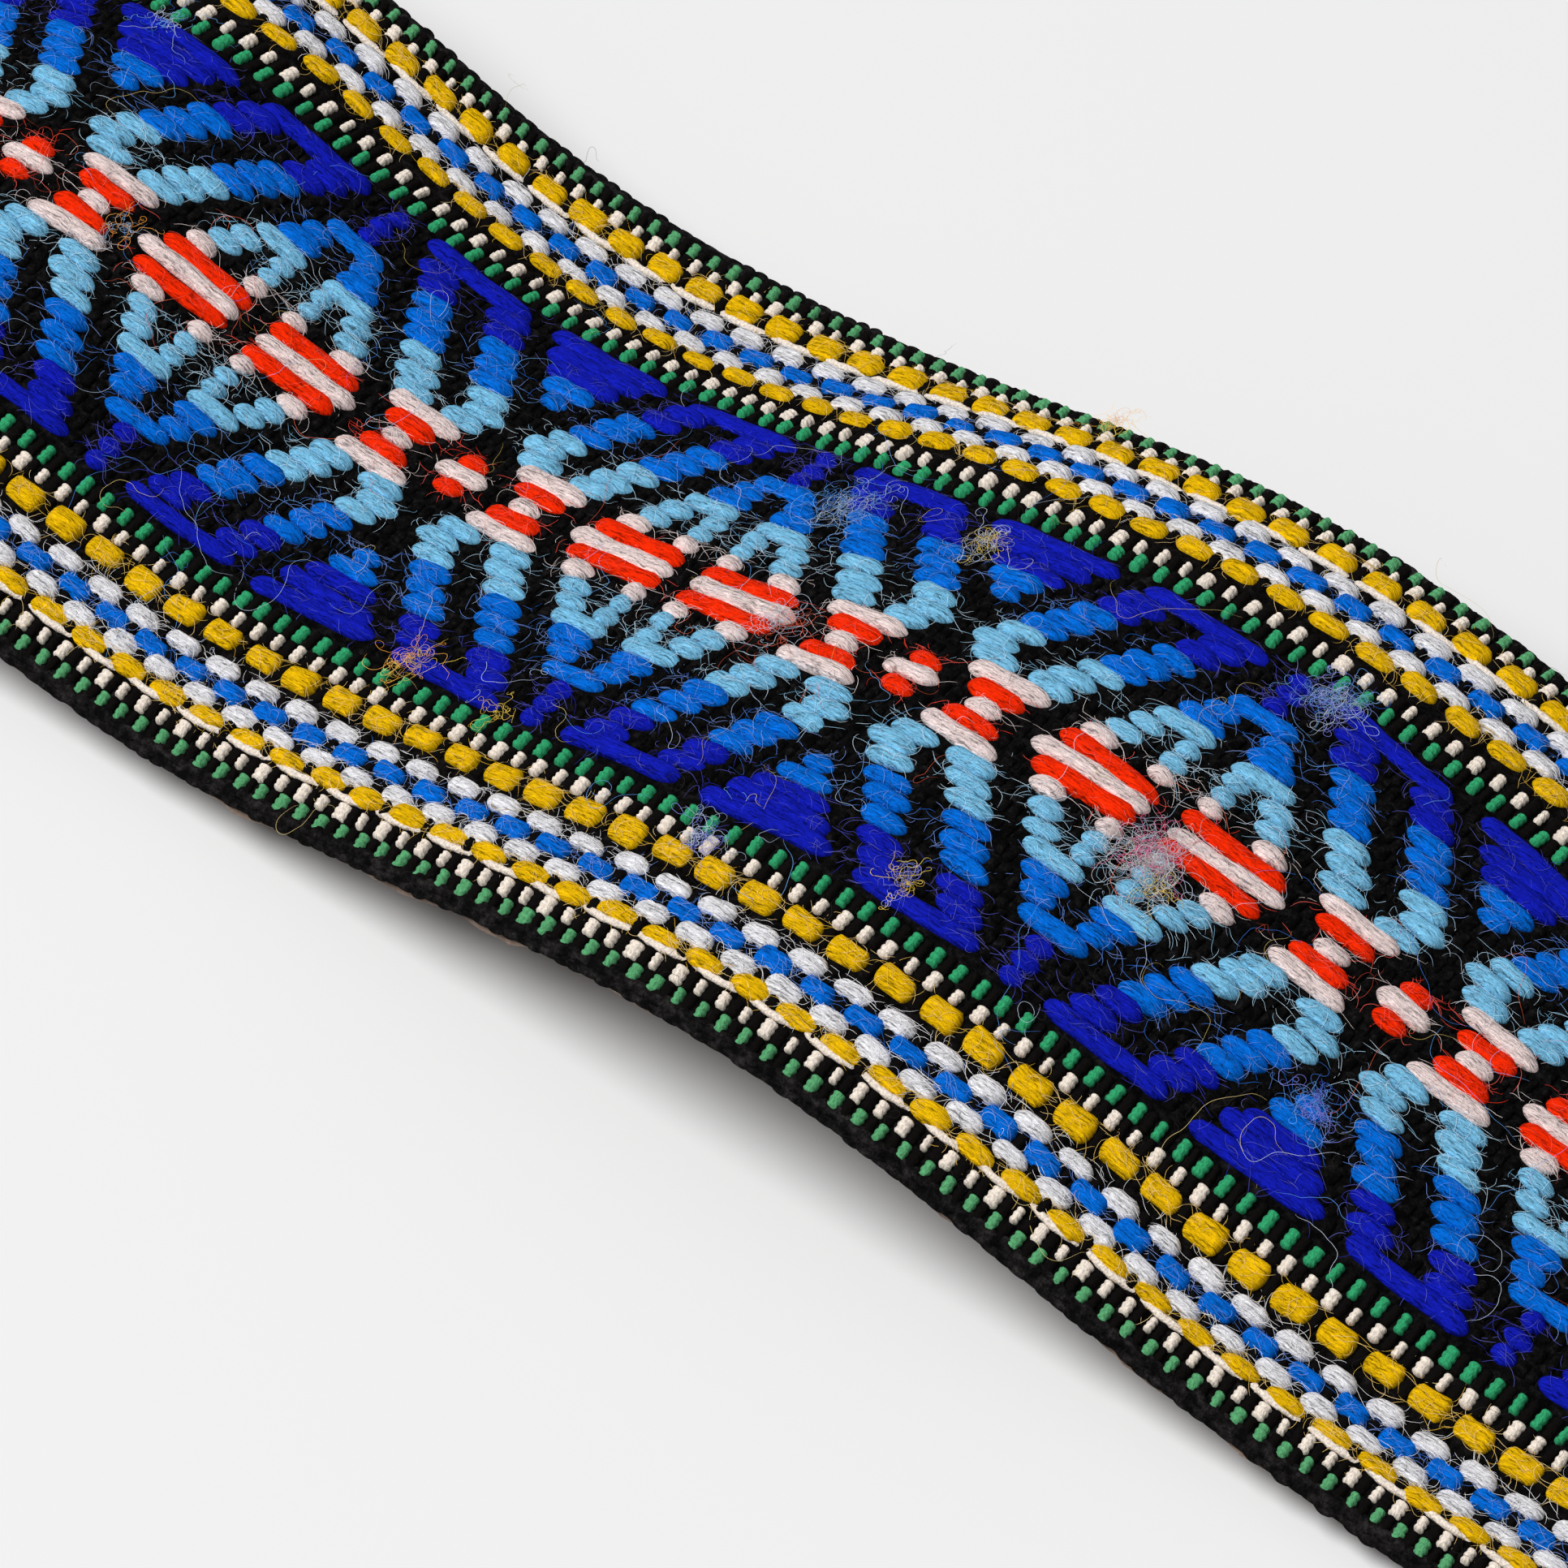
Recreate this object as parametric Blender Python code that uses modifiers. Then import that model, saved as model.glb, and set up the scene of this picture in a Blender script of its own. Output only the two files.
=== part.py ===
"""Guitar strap: a woven band sewn to a thin backing, laid out straight along X with its face up.
One end is a leather tab. The other runs through a slider, doubles back round a ring, and a second
leather tab hangs from that ring. Metres, +Z up, standing on z = 0, centred on the strap's length.
"""
import math

import bmesh
import bpy
from mathutils import Vector

MM = 0.001

# Driving dimensions of the band.
BAND_WIDTH = 50.8 * MM
BAND_THICKNESS = 1.5 * MM
BACKING_THICKNESS = 0.5 * MM
LAYER_GAP = 0.1 * MM
CLEARANCE = 0.3 * MM
STRAP_LENGTH = 1.120
PIECE_GAP = 0.3 * MM
SEAM_FROM_CENTRE = 21.8 * MM
THREAD_RADIUS = 0.25 * MM

# How the middle of the strap lies: a slight crown across it and two waves along it.
CROWN_HEIGHT = 3.2 * MM
CROWN_REACH = 85 * MM
CROWN_FADE = 50 * MM
CROWN_CENTRE = 12 * MM
SMALL_WAVE = {"height": 6.4 * MM, "twist": 2.2 * MM, "x": -49.5 * MM, "reach": 18.3 * MM, "skew": -3.6 * MM}
LARGE_WAVE = {"height": 8.3 * MM, "twist": 1.0 * MM, "x": 26.0 * MM, "reach": 30.0 * MM, "skew": 2.9 * MM}

# Leather tabs.
LEATHER_THICKNESS = 1.6 * MM
TAB_HALF_WIDTH = 27 * MM
TAB_LIFT = 0.8 * MM
TAB_TIP_RADIUS = 16 * MM
TAB_CORNER_RADIUS = 3 * MM
TAB_STRAIGHT = 44 * MM
STITCH_INSET = 2.8 * MM
STITCH_CORNER = 1.5 * MM
TAB_THREAD_RADIUS = 0.3 * MM
FRONT_TAB_LENGTH = 100 * MM
TAIL_TAB_LENGTH = 112 * MM
BAND_IN_TAB = 32 * MM
HOLE_RADIUS = 4.5 * MM
HOLE_FROM_TIP = 22 * MM
SLIT_LENGTH = 13 * MM
SLIT_WIDTH = 1.0 * MM
RIVET_FROM_EDGE = 15 * MM
RIVET_FROM_CENTRE = 14 * MM
RIVET_POST_RADIUS = 1.5 * MM
RIVET_HOLE_RADIUS = 1.8 * MM
RIVET_BACK_RADIUS = 4.0 * MM
RIVET_CAP_RADIUS = 4.5 * MM
RIVET_BACK_HEIGHT = 0.5 * MM
RIVET_CAP_HEIGHT = 1.2 * MM

# Adjuster hardware.
WIRE_RADIUS = 1.6 * MM
RING_INSIDE_WIDTH = 53 * MM
RING_SPACING = 16 * MM
FOLD_RADIUS = 2.0 * MM
TAIL_WEB_THICKNESS = 1.4 * MM
TAIL_WEB_WIDTH = 50 * MM
RING_TO_TAB = 34 * MM
SLIDER_TO_RING = 185 * MM
SLIDER_HALF_LENGTH = 15 * MM
SLIDER_HALF_WIDTH = 29.5 * MM
SLIDER_PLATE = 2.0 * MM
SLIDER_CENTRE_BAR = 4.0 * MM
SLOT_END = 11 * MM
SLOT_HALF_WIDTH = 26.2 * MM
SLIDER_RISE = 4.6 * MM
FLAP_LENGTH = 38 * MM

# Places that follow from the sizes above.
LAYERS = BACKING_THICKNESS + LAYER_GAP + BAND_THICKNESS
FRONT_TIP_X = -STRAP_LENGTH / 2
TAIL_TIP_X = STRAP_LENGTH / 2
FRONT_TAB_EDGE_X = FRONT_TIP_X + FRONT_TAB_LENGTH
TAIL_TAB_EDGE_X = TAIL_TIP_X - TAIL_TAB_LENGTH
RING_X = TAIL_TAB_EDGE_X - RING_TO_TAB
RING_Z = LAYERS + FOLD_RADIUS
SLIDER_X = RING_X - SLIDER_TO_RING
LOOP_RADIUS = math.hypot(SLIDER_PLATE / 2, SLIDER_PLATE / 2) + CLEARANCE
SLIDER_BAR_Z = LAYERS + LOOP_RADIUS
BAND_END_X = FRONT_TAB_EDGE_X - BAND_IN_TAB
TAB_BAND_Z = TAB_LIFT + LEATHER_THICKNESS + CLEARANCE
SLACK_START_X = -0.200
WAVES_START_X = -0.125
WAVES_END_X = 0.148
SLIDER_RUN_HALF = 24 * MM
LEVEL_LEAD = 2 * MM
SEWN_END_X = SLIDER_X + FLAP_LENGTH + 6 * MM
RING_FOLD_LENGTH = 26 * MM


def clear_scene():
    for obj in list(bpy.data.objects):
        bpy.data.objects.remove(obj, do_unlink=True)


clear_scene()
PARTS = bpy.data.collections.new("guitar_strap")
CUTTERS = bpy.data.collections.new("cutters")
bpy.context.scene.collection.children.link(PARTS)
bpy.context.scene.collection.children.link(CUTTERS)


def make_material(name, colour, roughness, metallic=0.0):
    material = bpy.data.materials.new(name)
    material.use_nodes = True
    shader = material.node_tree.nodes["Principled BSDF"]
    shader.inputs["Base Color"].default_value = (*colour, 1.0)
    shader.inputs["Roughness"].default_value = roughness
    shader.inputs["Metallic"].default_value = metallic
    material.diffuse_color = (*colour, 1.0)
    return material


WOVEN = make_material("woven_band", (0.02, 0.02, 0.05), 0.9)
BACKING = make_material("tan_backing", (0.35, 0.27, 0.20), 0.9)
SEAM = make_material("cream_thread", (0.75, 0.62, 0.48), 0.7)
LEATHER = make_material("black_leather", (0.02, 0.018, 0.016), 0.5)
WEBBING = make_material("black_webbing", (0.015, 0.015, 0.016), 0.85)
METAL = make_material("nickel_plate", (0.62, 0.61, 0.59), 0.25, 1.0)


def smooth_step(value):
    t = min(max(value, 0.0), 1.0)
    return t * t * (3 - 2 * t)


def wave_height(wave, x, across):
    middle = wave["x"] + wave["skew"] * across
    return (wave["height"] + wave["twist"] * across) * math.exp(-((x - middle) / wave["reach"]) ** 2)


def lie_height(x, y):
    """Height of the backing's underside above the surface."""
    across = y / (BAND_WIDTH / 2)
    past_crown = abs(x - CROWN_CENTRE) - CROWN_REACH
    crown = CROWN_HEIGHT * (1 - across * across) * (1 - smooth_step(past_crown / CROWN_FADE))
    waves = wave_height(SMALL_WAVE, x, across) + wave_height(LARGE_WAVE, x, across)
    into_tab = smooth_step((FRONT_TAB_EDGE_X + 27 * MM - x) / (25 * MM))
    return crown + waves + TAB_BAND_Z * into_tab


def add_object(name, mesh, material, collection=PARTS):
    obj = bpy.data.objects.new(name, mesh)
    collection.objects.link(obj)
    if material:
        mesh.materials.append(material)
    if collection == CUTTERS:
        obj.hide_render = True
        obj.display_type = "WIRE"
    return obj


def solidify(obj, thickness):
    """Thicken an open surface along its normals."""
    modifier = obj.modifiers.new("thickness", "SOLIDIFY")
    modifier.thickness = thickness
    modifier.offset = 1.0
    modifier.use_even_offset = True


def cut(obj, cutter, operation="DIFFERENCE"):
    modifier = obj.modifiers.new("cut", "BOOLEAN")
    modifier.operation = operation
    modifier.object = cutter
    modifier.solver = "EXACT"


def even_stations(start, end, step):
    """Places along the strap, evenly spaced, both ends included."""
    count = max(1, round((end - start) / step))
    return [start + (end - start) * i / count for i in range(count + 1)]


def laid_layer(name, stations, lift, thickness, material):
    """A layer of the long run, shaped by the lie of the strap."""
    columns = len(stations) - 1
    bm = bmesh.new()
    bmesh.ops.create_grid(bm, x_segments=columns, y_segments=4, size=0.5)
    for vert in bm.verts:
        x = stations[round((vert.co.x + 0.5) * columns)]
        y = vert.co.y * BAND_WIDTH
        vert.co = Vector((x, y, lie_height(x, y) + lift))
    mesh = bpy.data.meshes.new(name)
    bm.to_mesh(mesh)
    bm.free()
    obj = add_object(name, mesh, material)
    solidify(obj, thickness)
    return obj


def arc(centre_x, centre_z, radius, start_deg, end_deg, steps=10):
    """Points along an arc in the XZ plane."""
    points = []
    for i in range(steps + 1):
        angle = math.radians(start_deg + (end_deg - start_deg) * i / steps)
        points.append((centre_x + radius * math.cos(angle), centre_z + radius * math.sin(angle)))
    return points


def slope(x0, z0, x1, z1, steps=8):
    """Points along a smooth S-bend, level at both ends."""
    points = []
    for i in range(steps + 1):
        t = i / steps
        points.append((x0 + (x1 - x0) * t, z0 + (z1 - z0) * smooth_step(t)))
    return points


def offset_path(path, distance):
    """Shift a path to its left by a distance, mitring its corners."""
    points = [Vector(p) for p in path]
    shifted = []
    for i, point in enumerate(points):
        before = (point - points[i - 1]).normalized() if i > 0 else None
        after = (points[i + 1] - point).normalized() if i < len(points) - 1 else None
        before = before or after
        after = after or before
        left_before = Vector((-before.y, before.x))
        left_after = Vector((-after.y, after.x))
        mitre = (left_before + left_after).normalized()
        shifted.append(point + mitre * (distance / mitre.dot(left_after)))
    return shifted


def folded_layer(name, path, inner, thickness, width, material):
    """A ribbon along a path in XZ, between two distances to the path's left."""
    bm = bmesh.new()
    verts = [bm.verts.new((x, -width / 2, z)) for x, z in offset_path(path, inner)]
    edges = [bm.edges.new(pair) for pair in zip(verts, verts[1:])]
    swept = bmesh.ops.extrude_edge_only(bm, edges=edges)
    moved = [item for item in swept["geom"] if isinstance(item, bmesh.types.BMVert)]
    bmesh.ops.translate(bm, verts=moved, vec=(0, width, 0))
    bm.normal_update()
    first = edges[0].link_faces[0]
    along = verts[1].co - verts[0].co
    if first.normal.dot(Vector((-along.z, 0, along.x))) < 0:
        bmesh.ops.reverse_faces(bm, faces=bm.faces[:])
    mesh = bpy.data.meshes.new(name)
    bm.to_mesh(mesh)
    bm.free()
    obj = add_object(name, mesh, material)
    solidify(obj, thickness)
    return obj


def band_and_backing(suffix, path):
    """Both layers of the strap along a path on the backing's free side."""
    backing = folded_layer("backing_" + suffix, path, 0, BACKING_THICKNESS, BAND_WIDTH, BACKING)
    band_base = BACKING_THICKNESS + LAYER_GAP
    band = folded_layer("band_" + suffix, path, band_base, BAND_THICKNESS, BAND_WIDTH, WOVEN)
    return band, backing


def wire(name, points, radius, material, closed=False):
    """A round wire or thread through a list of points."""
    curve = bpy.data.curves.new(name, "CURVE")
    curve.dimensions = "3D"
    curve.bevel_depth = radius
    curve.bevel_resolution = 2
    curve.use_fill_caps = True
    curve.render_resolution_u = 0
    spline = curve.splines.new("POLY")
    spline.points.add(len(points) - 1)
    for spot, point in zip(spline.points, points):
        spot.co = (*point, 1.0)
    spline.use_cyclic_u = closed
    curve.materials.append(material)
    obj = bpy.data.objects.new(name, curve)
    PARTS.objects.link(obj)
    return obj


def cylinder(name, radius, x, y, z_low, z_high, segments=24):
    bm = bmesh.new()
    bmesh.ops.create_cone(bm, cap_ends=True, segments=segments, radius1=radius, radius2=radius,
                          depth=z_high - z_low)
    mesh = bpy.data.meshes.new(name)
    bm.to_mesh(mesh)
    bm.free()
    obj = add_object(name, mesh, None, CUTTERS)
    obj.location = (x, y, (z_low + z_high) / 2)
    return obj


def box(name, low, high):
    bm = bmesh.new()
    bmesh.ops.create_cube(bm, size=1.0)
    bmesh.ops.scale(bm, verts=bm.verts, vec=[b - a for a, b in zip(low, high)])
    mesh = bpy.data.meshes.new(name)
    bm.to_mesh(mesh)
    bm.free()
    obj = add_object(name, mesh, None, CUTTERS)
    obj.location = [(a + b) / 2 for a, b in zip(low, high)]
    return obj


def tab_outline(tip_x, length):
    """Outline of a leather tab: square sewn end, tapering to a round tip. Counterclockwise."""
    outward = 1 if tip_x > 0 else -1
    edge = tip_x - outward * length
    tip_centre = length - TAB_TIP_RADIUS
    reach = tip_centre - TAB_STRAIGHT
    taper = math.asin((TAB_HALF_WIDTH - TAB_TIP_RADIUS) / reach)
    upper = []
    for x, y in arc(TAB_CORNER_RADIUS, TAB_HALF_WIDTH - TAB_CORNER_RADIUS, TAB_CORNER_RADIUS, 180, 90, 3):
        upper.append((x, y))
    upper.append((TAB_STRAIGHT, TAB_HALF_WIDTH))
    for i in range(7):
        angle = (math.pi / 2 - taper) * (1 - i / 6)
        upper.append((tip_centre + TAB_TIP_RADIUS * math.cos(angle), TAB_TIP_RADIUS * math.sin(angle)))
    lower = [(x, -y) for x, y in reversed(upper[:-1])]
    return [(edge + outward * x, outward * y) for x, y in reversed(upper + lower)]


def outline_prism(name, outline, z_low, z_high, collection, material=None):
    """A flat outline extruded between two heights, as a mesh."""
    curve = bpy.data.curves.new(name, "CURVE")
    curve.dimensions = "2D"
    curve.fill_mode = "BOTH"
    curve.extrude = (z_high - z_low) / 2
    spline = curve.splines.new("POLY")
    spline.points.add(len(outline) - 1)
    for spot, (x, y) in zip(spline.points, outline):
        spot.co = (x, y, 0, 1)
    spline.use_cyclic_u = True
    guide = bpy.data.objects.new(name + "_guide", curve)
    CUTTERS.objects.link(guide)
    bpy.context.view_layer.update()
    mesh = bpy.data.meshes.new_from_object(guide.evaluated_get(bpy.context.evaluated_depsgraph_get()))
    bpy.data.objects.remove(guide, do_unlink=True)
    bm = bmesh.new()
    bm.from_mesh(mesh)
    bmesh.ops.remove_doubles(bm, verts=bm.verts, dist=0.00001)
    bmesh.ops.recalc_face_normals(bm, faces=bm.faces)
    bm.to_mesh(mesh)
    bm.free()
    mesh.materials.clear()
    obj = add_object(name, mesh, material, collection)
    obj.location.z = (z_low + z_high) / 2
    return obj


def tab_cutters(prefix, tip_x, edge_x):
    """The button hole, its slit and the two rivet holes of a tab."""
    inward = -1 if tip_x > 0 else 1
    hole_x = tip_x + inward * HOLE_FROM_TIP
    slit_end = hole_x + inward * (HOLE_RADIUS + SLIT_LENGTH)
    rivet_x = edge_x - inward * RIVET_FROM_EDGE
    cutters = [cylinder(prefix + "_hole", HOLE_RADIUS, hole_x, 0, -5 * MM, 20 * MM, 32)]
    low = (min(hole_x, slit_end), -SLIT_WIDTH / 2, -5 * MM)
    high = (max(hole_x, slit_end), SLIT_WIDTH / 2, 20 * MM)
    cutters.append(box(prefix + "_slit", low, high))
    for side in (-1, 1):
        name = prefix + "_rivet_hole_" + ("far" if side > 0 else "near")
        y = side * RIVET_FROM_CENTRE
        cutters.append(cylinder(name, RIVET_HOLE_RADIUS, rivet_x, y, -5 * MM, 20 * MM, 16))
    return cutters


def rivet(name, x, y, leather_top):
    """One rivet: back disc, post and domed cap, turned about its own axis."""
    cap_under = leather_top + CLEARANCE
    profile = [(0, cap_under + RIVET_CAP_HEIGHT)]
    for i in range(1, 5):
        angle = math.radians(90 - 22.5 * i)
        profile.append((RIVET_CAP_RADIUS * math.cos(angle), cap_under + RIVET_CAP_HEIGHT * math.sin(angle)))
    profile += [(RIVET_POST_RADIUS, cap_under), (RIVET_POST_RADIUS, RIVET_BACK_HEIGHT)]
    profile += [(RIVET_BACK_RADIUS, RIVET_BACK_HEIGHT), (RIVET_BACK_RADIUS, 0), (0, 0)]
    bm = bmesh.new()
    verts = [bm.verts.new((r, 0, z)) for r, z in profile]
    for pair in zip(verts, verts[1:]):
        bm.edges.new(pair)
    mesh = bpy.data.meshes.new(name)
    bm.to_mesh(mesh)
    bm.free()
    obj = add_object(name, mesh, METAL)
    obj.location = (x, y, 0)
    screw = obj.modifiers.new("turned", "SCREW")
    screw.steps = 16
    screw.render_steps = 16
    screw.use_merge_vertices = True
    screw.merge_threshold = 0.00001
    return obj


def make_tab(prefix, tip_x, length, stack_top):
    """Two leather layers, their thread and two rivets. stack_top is the height of what they hold."""
    outward = 1 if tip_x > 0 else -1
    edge_x = tip_x - outward * length
    cutters = tab_cutters(prefix, tip_x, edge_x)
    outline = tab_outline(tip_x, length)
    bottom_top = TAB_LIFT + LEATHER_THICKNESS
    bottom = outline_prism(prefix + "_bottom", outline, TAB_LIFT, bottom_top, PARTS, LEATHER)
    mask = outline_prism(prefix + "_mask", outline, -10 * MM, 30 * MM, CUTTERS)
    over = stack_top + CLEARANCE
    beyond = bottom_top + CLEARANCE
    step_start = edge_x + outward * (BAND_IN_TAB + 2 * MM)
    step_end = step_start + outward * 14 * MM
    path = [(edge_x - outward * 5 * MM, over)]
    path += slope(step_start, over, step_end, beyond)
    path.append((tip_x + outward * 5 * MM, beyond))
    if outward < 0:
        path.reverse()
    top = folded_layer(prefix + "_top", path, 0, LEATHER_THICKNESS, 2 * TAB_HALF_WIDTH + 10 * MM, LEATHER)
    cut(top, mask, "INTERSECT")
    for cutter in cutters:
        cut(bottom, cutter)
        cut(top, cutter)

    thread_z = over + LEATHER_THICKNESS + CLEARANCE + TAB_THREAD_RADIUS
    half = TAB_HALF_WIDTH - STITCH_INSET
    first = edge_x + outward * STITCH_INSET
    last = edge_x + outward * (BAND_IN_TAB - 1 * MM)
    turn = outward * STITCH_CORNER
    quarter = [(first, half - STITCH_CORNER), (first + turn, half), (last - turn, half),
               (last, half - STITCH_CORNER)]
    thread = [(x, y, thread_z) for x, y in quarter]
    thread += [(x, -y, thread_z) for x, y in reversed(quarter)]
    wire(prefix + "_thread", thread, TAB_THREAD_RADIUS, SEAM, closed=True)
    rivet_x = edge_x + outward * RIVET_FROM_EDGE
    for side, word in ((-1, "near"), (1, "far")):
        rivet(prefix + "_rivet_" + word, rivet_x, side * RIVET_FROM_CENTRE, over + LEATHER_THICKNESS)
    return cutters


def make_long_run():
    """The run from the front tab to the slider: flat, then the stretch that takes up the slack."""
    slack_end = SLIDER_X - SLIDER_RUN_HALF
    ramp = even_stations(FRONT_TAB_EDGE_X - 1 * MM, FRONT_TAB_EDGE_X + 29 * MM, 5 * MM)
    waves = even_stations(WAVES_START_X, WAVES_END_X, 7 * MM)
    front = [BAND_END_X] + ramp + [SLACK_START_X - PIECE_GAP / 2]
    slack = [SLACK_START_X + PIECE_GAP / 2] + waves + [slack_end - PIECE_GAP / 2]
    band_lift = BACKING_THICKNESS + LAYER_GAP
    layers = []
    for suffix, stations in (("front_run", front), ("slack_run", slack)):
        layers.append(laid_layer("backing_" + suffix, stations, 0, BACKING_THICKNESS, BACKING))
        layers.append(laid_layer("band_" + suffix, stations, band_lift, BAND_THICKNESS, WOVEN))
    thread_lift = LAYERS + CLEARANCE + THREAD_RADIUS
    for side, word in ((-1, "near"), (1, "far")):
        y = side * SEAM_FROM_CENTRE
        points = [(x, y, lie_height(x, y) + thread_lift) for x in ramp[1:] + slack]
        wire("seam_thread_" + word, points, THREAD_RADIUS, SEAM)
    return layers


def make_adjuster():
    """The band's way through the slider, round the ring and back to the slider's centre bar."""
    flap_z = SLIDER_BAR_Z + LOOP_RADIUS
    over_bar = flap_z + LAYERS + CLEARANCE
    on_under_run = LAYERS + CLEARANCE
    on_flap = on_under_run + LAYERS + CLEARANCE
    run_end = SLIDER_X + SLIDER_RUN_HALF

    flap = slope(SLIDER_X + 1 * MM, flap_z, SLIDER_X + 9 * MM, on_under_run, 6)
    path = [(SLIDER_X - SLIDER_RUN_HALF, 0)]
    path += slope(SLIDER_X - SLIDER_RUN_HALF + LEVEL_LEAD, 0, SLIDER_X - 1 * MM, over_bar, 10)
    path += [tuple(point) for point in offset_path(flap, LAYERS + CLEARANCE)]
    path.append((run_end, on_flap))
    band_and_backing("in_slider", path)

    sewn = [(SEWN_END_X, LAYERS)]
    bar_end_x = SLIDER_X - SLIDER_CENTRE_BAR / 2 + SLIDER_PLATE / 2
    sewn += arc(bar_end_x, SLIDER_BAR_Z, LOOP_RADIUS, 270, 90, 10)
    sewn += flap
    sewn.append((SLIDER_X + FLAP_LENGTH, on_under_run))
    band_and_backing("sewn_end", sewn)

    fold_start = RING_X - RING_FOLD_LENGTH
    top_run = [(run_end + PIECE_GAP, on_flap)]
    top_run += slope(SLIDER_X + FLAP_LENGTH + 2 * MM, on_flap, SLIDER_X + FLAP_LENGTH + 16 * MM, on_under_run)
    top_run.append((fold_start - PIECE_GAP, on_under_run))
    band_and_backing("top_run", top_run)

    fold = [(fold_start, on_under_run)]
    fold += slope(fold_start + LEVEL_LEAD, on_under_run, RING_X - 3 * MM, RING_Z + FOLD_RADIUS, 8)
    fold += arc(RING_X, RING_Z, FOLD_RADIUS, 90, -90, 12)
    fold.append((fold_start, LAYERS))
    band_and_backing("ring_fold", fold)

    under_run = [(fold_start - PIECE_GAP, LAYERS), (SEWN_END_X + PIECE_GAP, LAYERS)]
    band_and_backing("under_run", under_run)


def make_slider():
    """A bowed plate with two slots, its centre bar lower than its two outer bars."""
    rise_end = SLOT_END - 0.5 * MM
    half_bar = SLIDER_CENTRE_BAR / 2
    underside = SLIDER_BAR_Z - SLIDER_PLATE / 2
    right = slope(half_bar, underside, rise_end, underside + SLIDER_RISE, 6)
    right.append((SLIDER_HALF_LENGTH, underside + SLIDER_RISE))
    left = [(-x, z) for x, z in reversed(right)]
    path = [(SLIDER_X + x, z) for x, z in left + right]
    frame = folded_layer("slider_frame", path, 0, SLIDER_PLATE, 2 * SLIDER_HALF_WIDTH, METAL)
    for side, word in ((-1, "left"), (1, "right")):
        xs = sorted((SLIDER_X + side * half_bar, SLIDER_X + side * SLOT_END))
        slot = box("slider_slot_" + word, (xs[0], -SLOT_HALF_WIDTH, -5 * MM), (xs[1], SLOT_HALF_WIDTH, 20 * MM))
        cut(frame, slot)


def make_ring():
    """A rectangular ring bent from round wire, its inner bar on the hinge axis."""
    half = RING_INSIDE_WIDTH / 2 + WIRE_RADIUS
    bend = 3 * MM
    corners = ((RING_SPACING - bend, half - bend, 0), (bend, half - bend, 90),
               (bend, bend - half, 180), (RING_SPACING - bend, bend - half, 270))
    points = []
    for x, y, start in corners:
        points += [(px, py, 0) for px, py in arc(x, y, bend, start, start + 90, 4)]
    ring = wire("ring", points, WIRE_RADIUS, METAL, closed=True)
    ring.data.bevel_resolution = 3
    ring.location = (RING_X, 0, RING_Z)


def make_tail_webbing(cutters):
    """A short doubled webbing that joins the tail tab to the ring's outer bar."""
    bar_x = RING_X + RING_SPACING
    in_tab = TAIL_TAB_EDGE_X + BAND_IN_TAB
    low = TAB_LIFT + LEATHER_THICKNESS + CLEARANCE + TAIL_WEB_THICKNESS
    high = low + CLEARANCE
    path = [(in_tab, low)]
    path += slope(TAIL_TAB_EDGE_X - 1 * MM, low, bar_x + 3 * MM, RING_Z - FOLD_RADIUS, 6)
    path += arc(bar_x, RING_Z, FOLD_RADIUS, 270, 90, 12)
    path += slope(bar_x + 3 * MM, RING_Z + FOLD_RADIUS, TAIL_TAB_EDGE_X - 1 * MM, high, 6)
    path.append((in_tab, high))
    webbing = folded_layer("tail_webbing", path, 0, TAIL_WEB_THICKNESS, TAIL_WEB_WIDTH, WEBBING)
    for cutter in cutters:
        cut(webbing, cutter)
    return high + TAIL_WEB_THICKNESS


def shade_all():
    for obj in PARTS.objects:
        if obj.type == "MESH":
            obj.data.shade_smooth()
            obj.data.set_sharp_from_angle(angle=math.radians(35))


long_run = make_long_run()
front_cutters = make_tab("front_tab", FRONT_TIP_X, FRONT_TAB_LENGTH, TAB_BAND_Z + LAYERS)
for layer in long_run[:2]:
    for hole in front_cutters[2:]:
        cut(layer, hole)
make_adjuster()
make_slider()
make_ring()
tail_stack_top = TAB_LIFT + LEATHER_THICKNESS + 2 * CLEARANCE + 2 * TAIL_WEB_THICKNESS
tail_cutters = make_tab("tail_tab", TAIL_TIP_X, TAIL_TAB_LENGTH, tail_stack_top)
make_tail_webbing(tail_cutters[2:])
shade_all()
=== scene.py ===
import math

import bmesh
import bpy
import numpy as np
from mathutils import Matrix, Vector


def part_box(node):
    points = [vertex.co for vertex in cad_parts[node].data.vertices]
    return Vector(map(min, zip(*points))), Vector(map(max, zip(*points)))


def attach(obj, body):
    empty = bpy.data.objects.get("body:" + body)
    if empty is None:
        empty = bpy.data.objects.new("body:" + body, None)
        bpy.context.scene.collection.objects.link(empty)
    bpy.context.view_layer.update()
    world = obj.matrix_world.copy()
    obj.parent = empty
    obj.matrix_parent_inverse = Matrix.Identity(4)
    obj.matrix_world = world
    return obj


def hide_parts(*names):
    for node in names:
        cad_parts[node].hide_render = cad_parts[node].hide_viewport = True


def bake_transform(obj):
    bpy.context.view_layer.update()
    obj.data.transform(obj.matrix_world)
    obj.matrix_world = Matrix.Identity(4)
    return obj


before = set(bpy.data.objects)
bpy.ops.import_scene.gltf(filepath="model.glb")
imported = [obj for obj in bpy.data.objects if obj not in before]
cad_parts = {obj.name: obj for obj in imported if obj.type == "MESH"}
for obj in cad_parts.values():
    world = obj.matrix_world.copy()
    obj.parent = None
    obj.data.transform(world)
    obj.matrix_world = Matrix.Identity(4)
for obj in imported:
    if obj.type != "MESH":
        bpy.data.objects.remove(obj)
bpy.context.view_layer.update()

# ---------------------------------------------------------------- camera, table and light
# A long lens close to the strap, looking down at half a right angle across it. The strap lies on a
# plain pale table under one broad soft light, with a pale room all round to fill the shadows.
MM = 0.001
TURN = math.radians(39.5)
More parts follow.
